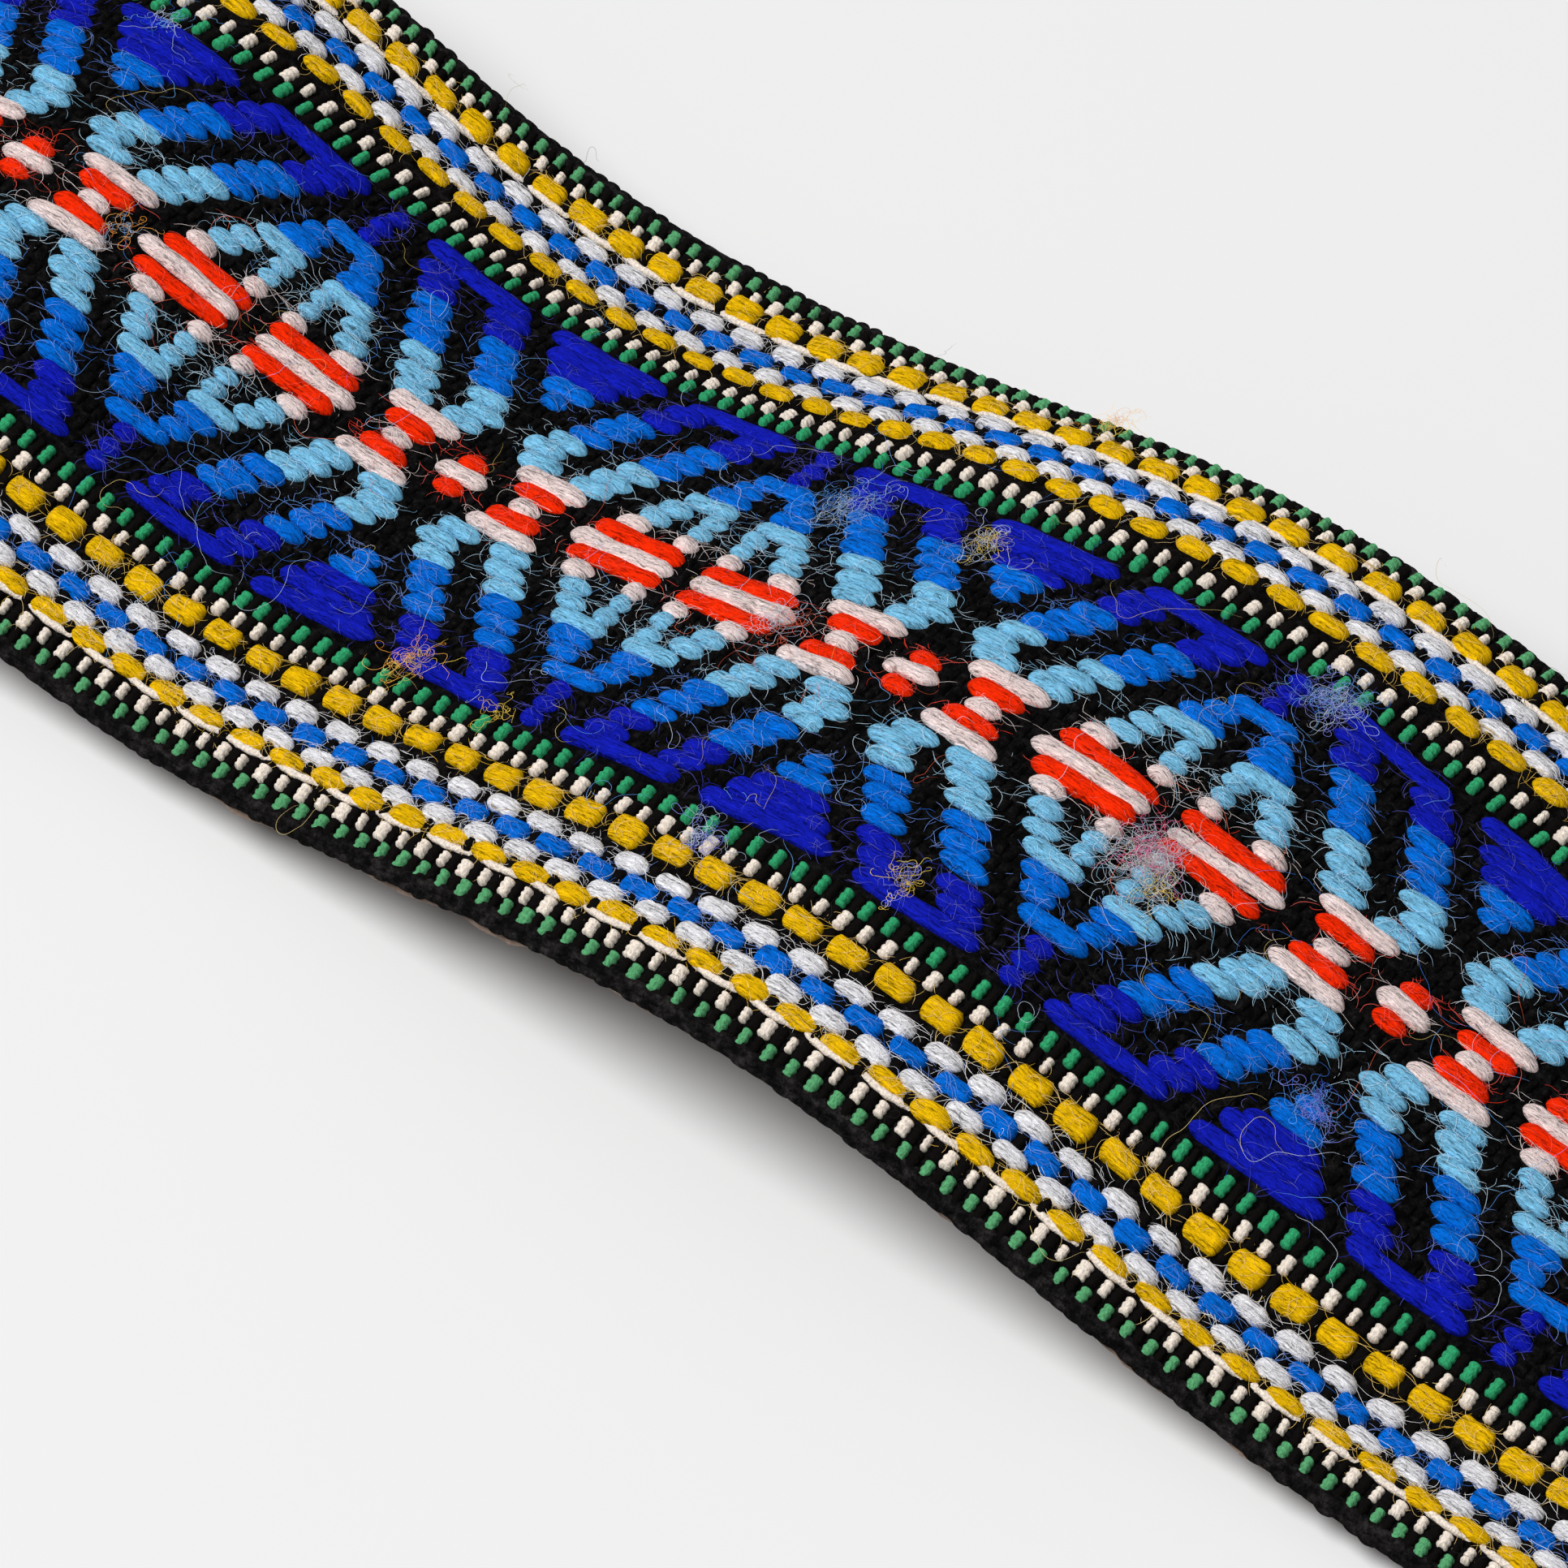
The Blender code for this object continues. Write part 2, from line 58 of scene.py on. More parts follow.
LOOK_DOWN = math.radians(47.8)
CAMERA_DISTANCE = 505 * MM
AIM = Vector((10.0, -3.4, 1.6)) * MM

camera_data = bpy.data.cameras.new("camera")
camera_data.sensor_width = 36.0
camera_data.sensor_height = 36.0
camera_data.lens = 18.0 / math.tan(math.radians(5.0))
camera_data.clip_start = 0.01
camera_data.clip_end = 20.0
camera = bpy.data.objects.new("camera", camera_data)
looking = Vector((-math.sin(TURN) * math.cos(LOOK_DOWN), math.cos(TURN) * math.cos(LOOK_DOWN),
                  -math.sin(LOOK_DOWN)))
camera.location = AIM - looking * CAMERA_DISTANCE
camera.rotation_euler = looking.to_track_quat("-Z", "Y").to_euler()
bpy.context.scene.collection.objects.link(camera)
bpy.context.scene.camera = camera


def node_material(name):
    """A new material, its tree and its shader."""
    material = bpy.data.materials.new(name)
    material.use_nodes = True
    tree = material.node_tree
    return material, tree, tree.nodes["Principled BSDF"]


table_material, _, table_shader = node_material("pale_table")
table_shader.inputs["Base Color"].default_value = (0.62, 0.62, 0.62, 1)
table_shader.inputs["Roughness"].default_value = 1.0
table_shader.inputs["Specular IOR Level"].default_value = 0.0
bpy.ops.mesh.primitive_plane_add(size=12, location=(0, 0, -0.0002))
table = bpy.context.object
table.name = "table"
table.data.materials.append(table_material)

room = bpy.data.worlds.new("room")
room.use_nodes = True
room.node_tree.nodes["Background"].inputs["Color"].default_value = (1, 1, 1, 1)
room.node_tree.nodes["Background"].inputs["Strength"].default_value = 0.27
bpy.context.scene.world = room
bpy.context.scene.view_settings.view_transform = "Standard"


def soft_light(name, place, aim, width, power):
    lamp = bpy.data.lights.new(name, "AREA")
    lamp.shape = "DISK"
    lamp.size = width
    lamp.energy = power
    obj = bpy.data.objects.new(name, lamp)
    obj.location = place
    obj.rotation_euler = (Vector(aim) - Vector(place)).to_track_quat("-Z", "Y").to_euler()
    bpy.context.scene.collection.objects.link(obj)


soft_light("softbox", (-0.45, -0.72, 2.0), (0, 0, 0), 1.75, 67)

# ---------------------------------------------------------------- backing cloth
# A thin tan cloth, a hair wider than the band, sewn under it from the front tab to the end that is
# sewn round the slider's bar. Its raw edge shows under the selvedge.
BAND_WIDTH = 50.8 * MM
HALF_BAND = BAND_WIDTH / 2
BACKING_THICKNESS = 0.5 * MM
BAND_FLOOR = 0.6 * MM
LAYERS = 2.1 * MM
GAP = 0.3 * MM
SLIDER_X = (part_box("slider_frame")[0][0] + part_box("slider_frame")[1][0]) / 2
RING_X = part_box("ring")[0][0] + 1.6 * MM
FRONT_EDGE_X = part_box("front_tab_bottom")[1][0]
BAND_START_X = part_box("band_front_run")[0][0]
FOLD_RADIUS = 2.0 * MM
LOOP_RADIUS = math.sqrt(2) * MM + GAP
RUN_END_X = SLIDER_X + 24 * MM
FLAP_END_X = SLIDER_X + 38 * MM


def smooth_step(t):
    t = np.clip(t, 0, 1)
    return t * t * (3 - 2 * t)


def lie_height(x, across):
    """How high the strap lies: a crown across it, two waves along it, and a far edge that curls up."""
    crown = 3.2 * MM * (1 - across ** 2) * (1 - smooth_step((np.abs(x - 12 * MM) - 85 * MM) / (50 * MM)))
    small = (6.4 + 2.2 * across) * MM * np.exp(-((x + (49.5 + 3.6 * across) * MM) / (18.3 * MM)) ** 2)
    large = (8.3 + 1.0 * across) * MM * np.exp(-((x - (26.0 + 2.9 * across) * MM) / (30.0 * MM)) ** 2)
    curl = 2.7 * MM * np.clip((across - 0.66) / 0.34, 0, 1.3) ** 1.7
    curl = curl * np.exp(-((x + 24 * MM) / (27 * MM)) ** 2)
    hollow = np.exp(-((x + 15 * MM) / (14 * MM)) ** 2) - 0.7 * np.exp(-((x - 7 * MM) / (8 * MM)) ** 2)
    slack = 1.0 * MM * smooth_step((x - 38 * MM) / (16 * MM)) * smooth_step((95 * MM - x) / (30 * MM))
    return (crown + small + large + curl - 0.9 * MM * hollow * np.exp(-((across - 0.67) / 0.15) ** 2)
            - slack * np.exp(-((across + 0.80) / 0.18) ** 2))


def s_bend(x0, z0, x1, z1, steps=24):
    t = np.linspace(0, 1, steps + 1)
    return list(zip(x0 + (x1 - x0) * t, z0 + (z1 - z0) * smooth_step(t)))


def round_bend(x, z, radius, start, end, steps=24):
    turn = np.radians(np.linspace(start, end, steps + 1))
    return list(zip(x + radius * np.cos(turn), z + radius * np.sin(turn)))


def beside(path, distance):
    """The same path, shifted to its left."""
    path = np.array(path)
    along = np.gradient(path, axis=0)
    along /= np.linalg.norm(along, axis=1)[:, None]
    return [tuple(p) for p in path + distance * np.column_stack((-along[:, 1], along[:, 0]))]


tab_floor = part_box("front_tab_bottom")[1][2] + GAP
bar_z = LAYERS + LOOP_RADIUS
ring_z = LAYERS + FOLD_RADIUS
on_under_run = LAYERS + GAP
on_flap = on_under_run + LAYERS + GAP
flap = s_bend(SLIDER_X + 1 * MM, bar_z + LOOP_RADIUS, SLIDER_X + 9 * MM, on_under_run)
route = [(BAND_START_X, tab_floor)]
route += s_bend(FRONT_EDGE_X + 2 * MM, tab_floor, FRONT_EDGE_X + 27 * MM, 0)
route += s_bend(SLIDER_X - 22 * MM, 0, SLIDER_X - 1 * MM, bar_z + LOOP_RADIUS + LAYERS + GAP)
route += beside(flap, LAYERS + GAP)
route += s_bend(SLIDER_X + 40 * MM, on_flap, SLIDER_X + 54 * MM, on_under_run)
route += s_bend(RING_X - 24 * MM, on_under_run, RING_X - 3 * MM, ring_z + FOLD_RADIUS)
route += round_bend(RING_X, ring_z, FOLD_RADIUS, 90, -90)
route += round_bend(SLIDER_X - 1 * MM, bar_z, LOOP_RADIUS, 270, 90)
route += flap + [(FLAP_END_X, on_under_run)]

LAY_STEP = 0.5 * MM
ROWS_ACROSS = np.linspace(-1.08, 1.08, 25)


def lay_table(route):
    """Where the strap's underside lies, at even steps of its own length, for each row across it."""
    route = np.array(route)
    run = np.concatenate(([0], np.cumsum(np.linalg.norm(np.diff(route, axis=0), axis=1))))
    fine = np.arange(0, run[-1], 0.2 * MM)
    x = np.interp(fine, run, route[:, 0])
    z = np.interp(fine, run, route[:, 1])
    middle = np.argmax(x >= 0)
    rows = []
    for across in ROWS_ACROSS:
        height = z + lie_height(x, across)
        length = np.concatenate(([0], np.cumsum(np.hypot(np.diff(x), np.diff(height)))))
        rows.append((length - length[middle], x, height))
    start = max(row[0][0] for row in rows)
    end = min(row[0][-1] for row in rows)
    even = np.arange(start, end, LAY_STEP)
    place = np.empty((len(ROWS_ACROSS), len(even), 3))
    for i, (length, x, height) in enumerate(rows):
        place[i, :, 0] = np.interp(even, length, x)
        place[i, :, 1] = ROWS_ACROSS[i] * HALF_BAND
        place[i, :, 2] = np.interp(even, length, height)
    up = np.cross(np.gradient(place, axis=1), np.gradient(place, axis=0))
    up /= np.linalg.norm(up, axis=2)[:, :, None]
    return even, place, up


LENGTHS, PLACES, UPS = lay_table(route)
RING_TURN = LENGTHS[np.argmax(PLACES[12, :, 0])]
SEWN_BAR = RING_TURN + RING_X - SLIDER_X


def on_strap(along, across, height):
    """Points in space for places along and across the strap, a height above its underside.

    Past the turn at the ring the strap lies face down, and what stands proud of it is pressed flat.
    """
    height = np.where((along > RING_TURN) & (along < SEWN_BAR), np.minimum(height, 2.04 * MM), height)
    i = np.clip((along - LENGTHS[0]) / LAY_STEP, 0, len(LENGTHS) - 1.001)
    j = np.clip((across / HALF_BAND + 1.08) / 2.16 * 24, 0, 23.999)
    i0, j0 = i.astype(int), j.astype(int)
    fi, fj = (i - i0)[..., None], (j - j0)[..., None]

    def mix(grid):
        near = grid[j0, i0] * (1 - fi) + grid[j0, i0 + 1] * fi
        far = grid[j0 + 1, i0] * (1 - fi) + grid[j0 + 1, i0 + 1] * fi
        return near * (1 - fj) + far * fj

    return mix(PLACES) + mix(UPS) * height[..., None]


def length_at(x):
    """The length along the strap where its long run first reaches x."""
    return LENGTHS[np.argmax(PLACES[12, :, 0] >= x)]


STRAP_START = LENGTHS[0]
SPLIT = length_at(RUN_END_X)
STRAP_END = LENGTHS[-1]


def mesh_from_grid(name, points, weave, closed=False):
    """One object from many little grids: points and weave are (grids, rows, columns, 3)."""
    grids, rows, columns = points.shape[:3]
    index = np.arange(grids * rows * columns).reshape(grids, rows, columns)
    if closed:
        index = np.concatenate((index, index[:, :, :1]), axis=2)
    quads = np.stack((index[:, :-1, :-1], index[:, 1:, :-1], index[:, 1:, 1:], index[:, :-1, 1:]), -1)
    quads = quads.reshape(-1, 4)
    mesh = bpy.data.meshes.new(name)
    mesh.vertices.add(index.max() + 1)
    mesh.vertices.foreach_set("co", points.reshape(-1).astype(np.float32))
    mesh.loops.add(quads.size)
    mesh.loops.foreach_set("vertex_index", quads.reshape(-1).astype(np.int32))
    mesh.polygons.add(len(quads))
    mesh.polygons.foreach_set("loop_start", np.arange(0, quads.size, 4, dtype=np.int32))
    mesh.update(calc_edges=True)
    mesh.shade_smooth()
    place = mesh.attributes.new("weave", "FLOAT_VECTOR", "POINT")
    place.data.foreach_set("vector", weave.reshape(-1).astype(np.float32))
    obj = bpy.data.objects.new(name, mesh)
    bpy.context.scene.collection.objects.link(obj)
    return obj


def hold(obj, x_first):
    """Bakes a band piece's placement into its points, the same way for either part."""
    if x_first == "long_run":
        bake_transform(obj)
    else:
        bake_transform(obj)
    return obj


def flat_layer(name, place, start, end, half_width, low, high, step, columns, ragged=0.0):
    """A closed layer of cloth with rounded edges. high(across) is its top, and place puts it in space."""
    count = int(round((end - start) / step)) + 1
    along = np.linspace(start, end, count)
    flat = np.linspace(-1, 1, columns)
    flat = np.sign(flat) * (1 - (1 - np.abs(flat)) ** 1.5) * half_width
    rim = 0.35 * MM
    side = 1 - np.clip((half_width - np.abs(flat)) / rim, 0, 1)
    round_edge = 0.15 + 0.85 * np.sqrt(1 - side ** 2)
    middle = (low + high(flat)) / 2
    upper = middle + (high(flat) - middle) * round_edge
    lower = middle - (middle - low) * round_edge
    around = np.concatenate((flat, flat[::-1]))
    chance = np.random.default_rng(1)
    wander = np.convolve(chance.normal(0, 1, count + 4), np.ones(5) / 5, "valid") * ragged
    across = np.tile(around, (count, 1))
    across += wander[:, None] * (np.abs(around) > half_width * 0.985) * np.sign(around)
    height = np.tile(np.concatenate((upper, lower[::-1])), (count, 1))
    places = np.tile(along[:, None], (1, len(around)))
    points = place(places, across, height)[None]
    weave = np.stack((places, across, height), -1)[None]
    obj = mesh_from_grid(name, points, weave, closed=True)
    bm = bmesh.new()
    bm.from_mesh(obj.data)
    bmesh.ops.holes_fill(bm, edges=[edge for edge in bm.edges if edge.is_boundary])
    bmesh.ops.recalc_face_normals(bm, faces=bm.faces)
    bm.to_mesh(obj.data)
    bm.free()
    return obj


def scaled_weave(tree, along, across, third=1.0):
    """The weave's own coordinates, in millimetres times these scales."""
    where = tree.nodes.new("ShaderNodeAttribute")
    where.attribute_name = "weave"
    scale = tree.nodes.new("ShaderNodeVectorMath")
    scale.operation = "MULTIPLY"
    scale.inputs[1].default_value = (1000 * along, 1000 * across, 1000 * third)
    tree.links.new(where.outputs["Vector"], scale.inputs[0])
    return scale.outputs["Vector"]


def noise(tree, coordinates, scale=1.0, detail=2.0, rough=0.5):
    node = tree.nodes.new("ShaderNodeTexNoise")
    node.inputs["Scale"].default_value = scale
    node.inputs["Detail"].default_value = detail
    node.inputs["Roughness"].default_value = rough
    tree.links.new(coordinates, node.inputs["Vector"])
    return node.outputs["Fac"]


def combine(tree, kind, first, second):
    node = tree.nodes.new("ShaderNodeMath")
    node.operation = kind
    for socket, value in zip(node.inputs, (first, second)):
        if isinstance(value, (int, float)):
            socket.default_value = value
        else:
            tree.links.new(value, socket)
    return node.outputs[0]


def tint(tree, shader, amount, stops):
    """Colour from a ramp: stops are (place, (r, g, b)) in linear light."""
    ramp = tree.nodes.new("ShaderNodeValToRGB")
    elements = ramp.color_ramp.elements
    while len(elements) < len(stops):
        elements.new(0.5)
    for element, (place, colour) in zip(elements, stops):
        element.position = place
        element.color = (*colour, 1)
    tree.links.new(amount, ramp.inputs["Fac"])
    tree.links.new(ramp.outputs["Color"], shader.inputs["Base Color"])


def bump(tree, shader, height, distance, strength=1.0):
    node = tree.nodes.new("ShaderNodeBump")
    node.inputs["Distance"].default_value = distance
    node.inputs["Strength"].default_value = strength
    tree.links.new(height, node.inputs["Height"])
    tree.links.new(node.outputs["Normal"], shader.inputs["Normal"])


def shade(colour, factor):
    return tuple(min(1.0, channel * factor) for channel in colour)


TAN = (0.22, 0.16, 0.125)
tan_cloth, tree, shader = node_material("tan_cloth")
warp_threads = noise(tree, scaled_weave(tree, 2.6, 0.5))
threads = combine(tree, "MULTIPLY", warp_threads, noise(tree, scaled_weave(tree, 0.5, 2.6)))
tint(tree, shader, threads, ((0.08, shade(TAN, 0.55)), (0.45, shade(TAN, 1.35))))
bump(tree, shader, threads, 0.25 * MM)
shader.inputs["Roughness"].default_value = 0.95
shader.inputs["Specular IOR Level"].default_value = 0.15
shader.inputs["Sheen Weight"].default_value = 0.1

for part, start, end, nodes in (
        ("long_run", STRAP_START, SPLIT, ("backing_front_run", "backing_slack_run", "backing_in_slider")),
        ("adjuster", SPLIT, STRAP_END, ("backing_top_run", "backing_ring_fold", "backing_under_run",
                                        "backing_sewn_end"))):
    backing = flat_layer("backing_" + part, on_strap, start, end, HALF_BAND - 0.52 * MM, 0.02 * MM,
                         lambda across: BACKING_THICKNESS + 0 * across, 0.8 * MM, 42, 0.30 * MM)
    backing.data.materials.append(tan_cloth)
    hold(backing, part)
    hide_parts(*nodes)

# ---------------------------------------------------------------- black ground of the band
# The band's own cloth: fine black warp and weft in a close twill, which carries every coloured
# thread. Its two edges are woven as thick round cords.
BLACK = (0.0028, 0.0025, 0.0025)


def ground_top(across):
    """The top of the ground above the underside: level, and thinner towards the near edge."""
    return 1.62 * MM - 0.42 * MM * smooth_step((-across - 22.0 * MM) / (3.0 * MM))



def black_cloth(name, colour):
    """Fine black threads: soft lumps with hairs over them."""
    material, tree, shader = node_material(name)
    lumps = noise(tree, scaled_weave(tree, 1.5, 1.9), detail=4, rough=0.62)
    fibre = noise(tree, scaled_weave(tree, 9.0, 7.0), detail=2, rough=0.6)
    relief = combine(tree, "ADD", combine(tree, "MULTIPLY", lumps, 0.75),
                     combine(tree, "MULTIPLY", fibre, 0.25))
    tint(tree, shader, relief,
         ((0.42, shade(colour, 0.4)), (0.54, shade(colour, 1.4)), (0.68, shade(colour, 4.5))))
    bump(tree, shader, relief, 0.45 * MM)
    shader.inputs["Roughness"].default_value = 1.0
    shader.inputs["Specular IOR Level"].default_value = 0.03
    return material


black_ground = black_cloth("black_ground", BLACK)
selvedge_cord = black_cloth("selvedge_cord", shade(BLACK, 2.2))

for part, start, end, nodes in (
        ("long_run", STRAP_START, SPLIT, ("band_front_run", "band_slack_run", "band_in_slider")),
        ("adjuster", SPLIT, STRAP_END, ("band_top_run", "band_ring_fold", "band_under_run",
                                        "band_sewn_end"))):
    ground = flat_layer("ground_" + part, on_strap, start, end, HALF_BAND - 0.8 * MM, BAND_FLOOR, ground_top,
                        1 * MM, 48)
    ground.data.materials.append(black_ground)
    hold(ground, part)
    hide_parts(*nodes)

CORD_PITCH = 0.96 * MM


def corded_edge(name, start, end, middle, height_up, radius, offset, seed):
    """A selvedge cord: the weft's turns bound side by side, each turn a small bulge that leans."""
    along = np.arange(start, end, CORD_PITCH / 8)
    chance = np.random.default_rng(seed)
    turns = along / CORD_PITCH + offset
    which = (turns - math.floor(turns[0])).astype(int)
    size = chance.normal(0, 0.07, which[-1] + 1)[which]
    aside = chance.normal(0, 0.05 * MM, which[-1] + 1)[which]
    bulge = np.abs(np.sin(math.pi * turns)) ** 0.55
    around = np.linspace(0, 2 * math.pi, 12, endpoint=False)
    swell = (0.80 + (0.22 + size) * bulge)[:, None] * radius
    side = np.sign(middle)
    across = middle + side * (aside * bulge)[:, None] + side * swell * np.cos(around)
    height = height_up + swell * np.sin(around)
    places = along[:, None] + 0.45 * MM * np.sin(around + 0.6)
    points = on_strap(places, across, height)[None]
    weave = np.stack((places, across, height), -1)[None]
    if side > 0:
        points, weave = points[:, :, ::-1], weave[:, :, ::-1]
    return mesh_from_grid(name, points, weave, closed=True)


CORDS = (("inner", 24.40 * MM, 1.20 * MM, 0.42 * MM, 0.0), ("outer", 24.78 * MM, 0.90 * MM, 0.38 * MM, 0.5))
for side, word in ((-1, "near"), (1, "far")):
    for part, start, end in (("long_run", STRAP_START, SPLIT), ("adjuster", SPLIT, STRAP_END)):
        for number, (cord, middle, height_up, radius, offset) in enumerate(CORDS):
            name = "selvedge_" + cord + "_" + word + "_" + part
            height_up += 0.22 * MM if word == "far" else 0
            edge = corded_edge(name, start, end, side * middle, height_up, radius, offset, 11 + side + number)
            edge.data.materials.append(selvedge_cord)
            hold(edge, part)

# ---------------------------------------------------------------- wool floats of the centre panel
# Soft wool threads that lie along the strap on the ground, one row each 1.16 mm, tied down where a
# float ends. One drawing of 44 steps repeats every 34 mm, mirrored about its middle and its centre row.
REPEAT = 34.0 * MM
STEP = REPEAT / 44
ROW_PITCH = 1.157 * MM
CLOSE_START = -0.10
CLOSE_END = 0.115

PANEL = (
    (0, "blush", ((1, 11), (14, 17), (19.7, 22))),
    (1, "red", ((1, 10), (13, 18), (20.6, 22))),
    (2, "blush", ((1, 3.2), (6, 9), (12, 19))),
    (3, "pale_blue", ((1, 3.2), (5, 8), (11, 15), (16, 20))),
    (4, "pale_blue", ((1, 3.2), (4.2, 7.2), (10.2, 14.2), (17, 21))),
    (5, "pale_blue", ((0.9, 6.1), (9, 13), (16, 20))),
    (6, "blue", ((1, 5), (8, 12), (15, 19))),
    (7, "blue", ((1, 4), (7, 11), (14, 18), (20.7, 22))),
    (8, "blue", ((0, 3), (6, 10), (13, 17), (19.6, 22))),
    (9, "indigo", ((0, 1.1), (5, 9), (12, 16), (18.6, 22))),
    (10, "indigo", ((0, 1.1), (4, 8), (11, 15), (17.4, 22))),
    (11, "indigo", ((0, 1.0), (3, 14), (16.2, 22))),
)


def whole_spans(spans):
    """A half drawing's floats and their mirror images, in steps from the drawing's middle."""
    whole = []
    for first, last in spans:
        if first == 0:
            whole.append((-last, last))
        elif last == 22:
            whole.append((first, 44 - first))
        else:
            whole += [(first, last), (-last, -first)]
    return whole


repeats = range(math.floor(STRAP_START / REPEAT) - 1, math.ceil(STRAP_END / REPEAT) + 1)
floats = {}
for row, colour, spans in PANEL:
    for first, last in whole_spans(spans):
        for side in ((1,) if row == 0 else (1, -1)):
            for repeat in repeats:
                start = repeat * REPEAT + first * STEP
                end = repeat * REPEAT + last * STEP
                floats.setdefault(colour, []).append(
                    (start - 0.06 * MM, end + 0.06 * MM, side * row * ROW_PITCH,
                     0.60 * MM, 0.54 * MM, 0.95 * MM))


def raise_floats(spans, along_steps, across_steps, seed):
    """Puffed floats as half-round pillows: (start, end, across, half width, height, tip) each."""
    chance = np.random.default_rng(seed)
    start, end, across, half, high, tip = np.array(spans).T
    count = len(spans)
    start = start + chance.normal(0, 0.06 * MM, count)
    end = end + chance.normal(0, 0.06 * MM, count)
    across = across + chance.normal(0, 0.04 * MM, count)
    half = half * (1 + chance.normal(0, 0.06, count))
    high = high * (1 + chance.normal(0, 0.12, count))
    length = end - start
    t = 0.5 - 0.5 * np.cos(math.pi * np.linspace(0, 1, along_steps))
    along = start[:, None] + length[:, None] * t
    from_end = np.minimum(along - start[:, None], end[:, None] - along)
    shoulder = 1 - np.clip(from_end / np.minimum(tip, length / 2)[:, None], 0, 1)
    full = (1 - shoulder ** 1.8) ** 0.68
    sway = chance.uniform(0, 6.28, (2, count))[:, :, None]
    full = full * (1 + 0.06 * np.sin(along / (0.55 * MM) + sway[0]))
    turn = np.linspace(-1.85, 1.85, across_steps)
    round_across = np.sign(turn) * np.abs(np.sin(turn)) ** 0.88
    round_up = np.sign(np.cos(turn)) * np.abs(np.cos(turn)) ** 0.8
    places = np.repeat(along[:, :, None], across_steps, 2)
    lean = chance.normal(0, 0.035, count)[:, None] * (along - (start + end)[:, None] / 2)
    lean = lean + 0.05 * MM * np.sin(along / (1.1 * MM) + sway[1])
    aside = (across[:, None] + lean)[:, :, None]
    aside = aside + half[:, None, None] * (0.08 + 0.92 * full)[:, :, None] * round_across
    rise = ground_top(aside) + high[:, None, None] * (full[:, :, None] * (round_up + 0.12) - 0.12)
    points = on_strap(places, aside, rise)
    weave = np.stack((places, aside, np.zeros_like(places) + chance.random(count)[:, None, None]), -1)
    return points, weave


def wool(name, colour, dark=0.30, light=1.35):
    """Wool in one colour: fine wavy fibres along the thread, their tone partly their own and partly painted
    light: painted shade darkens the slits between them and a painted highlight lightens the raised fibres.
    """
    material, tree, shader = node_material(name)
    place = scaled_weave(tree, 1.0, 1.0)
    wander = tree.nodes.new("ShaderNodeTexNoise")
    wander.inputs["Scale"].default_value = 1.3
    tree.links.new(place, wander.inputs["Vector"])
    shift = tree.nodes.new("ShaderNodeVectorMath")
    shift.operation = "MULTIPLY_ADD"
    shift.inputs[1].default_value = (0.35, 0.35, 0.0)
    tree.links.new(wander.outputs["Color"], shift.inputs[0])
    tree.links.new(place, shift.inputs[2])
    stretch = tree.nodes.new("ShaderNodeVectorMath")
    stretch.operation = "MULTIPLY"
    stretch.inputs[1].default_value = (0.9, 9.0, 3.0)
    tree.links.new(shift.outputs["Vector"], stretch.inputs[0])
    strands = noise(tree, stretch.outputs["Vector"], detail=3, rough=0.62)
    specks = noise(tree, scaled_weave(tree, 3.0, 14.0, 3.0), detail=2, rough=0.6)
    hair = combine(tree, "ADD", combine(tree, "MULTIPLY", strands, 0.7),
                   combine(tree, "MULTIPLY", specks, 0.3))
    # The ramp follows the same noise as the bump. Its dark end is painted shade in the low slits, its light
    # end is a painted highlight on the raised fibres, and the stops between give some fibre-to-fibre tone.
    stops = ((0.38, shade(colour, dark)), (0.455, shade(colour, 0.82)), (0.53, colour),
             (0.64, shade(colour, light)))
    tint(tree, shader, hair, stops)
    bump(tree, shader, hair, 0.32 * MM)
    shader.inputs["Roughness"].default_value = 1.0
    shader.inputs["Specular IOR Level"].default_value = 0.04
    return material


WOOLS = {
    "white": (0.67, 0.665, 0.69),
    "blush": (0.69, 0.565, 0.545),
    "red": (0.81, 0.022, 0.001),
    "pale_blue": (0.165, 0.44, 0.65),
    "blue": (0.001, 0.122, 0.56),
    "indigo": (0.005, 0.010, 0.36),
    "yellow": (0.68, 0.395, 0.002),
}
wool_material = {name: wool(name + "_wool", colour) for name, colour in WOOLS.items()}


def sections(items):
    """Split floats by where their middles lie: before, in and past the close stretch, and the adjuster."""
    edges = (STRAP_START + 1 * MM, CLOSE_START, 0.0, CLOSE_END, SPLIT, STRAP_END - 1 * MM)
    words = ("front", "middle_front", "middle_back", "back", "adjuster")
    for word, low, high in zip(words, edges, edges[1:]):
        chosen = [item for item in items if low <= (item[0] + item[1]) / 2 < high
                  and item[0] > edges[0] and item[1] < edges[-1]]
        if chosen:
            yield word, chosen


def lay_floats(name, colour, material, items, close_grid, far_grid, seed):
    for word, chosen in sections(items):
        grid = close_grid if word.startswith("middle") else far_grid
        points, weave = raise_floats(chosen, *grid, seed)
        obj = mesh_from_grid(name + "_" + colour + "_" + word, points, weave)
        obj.data.materials.append(material)
        hold(obj, "adjuster" if word == "adjuster" else "long_run")


for number, (colour, items) in enumerate(floats.items()):
    lay_floats("panel", colour, wool_material[colour], items, (15, 9), (7, 5), 100 + number)

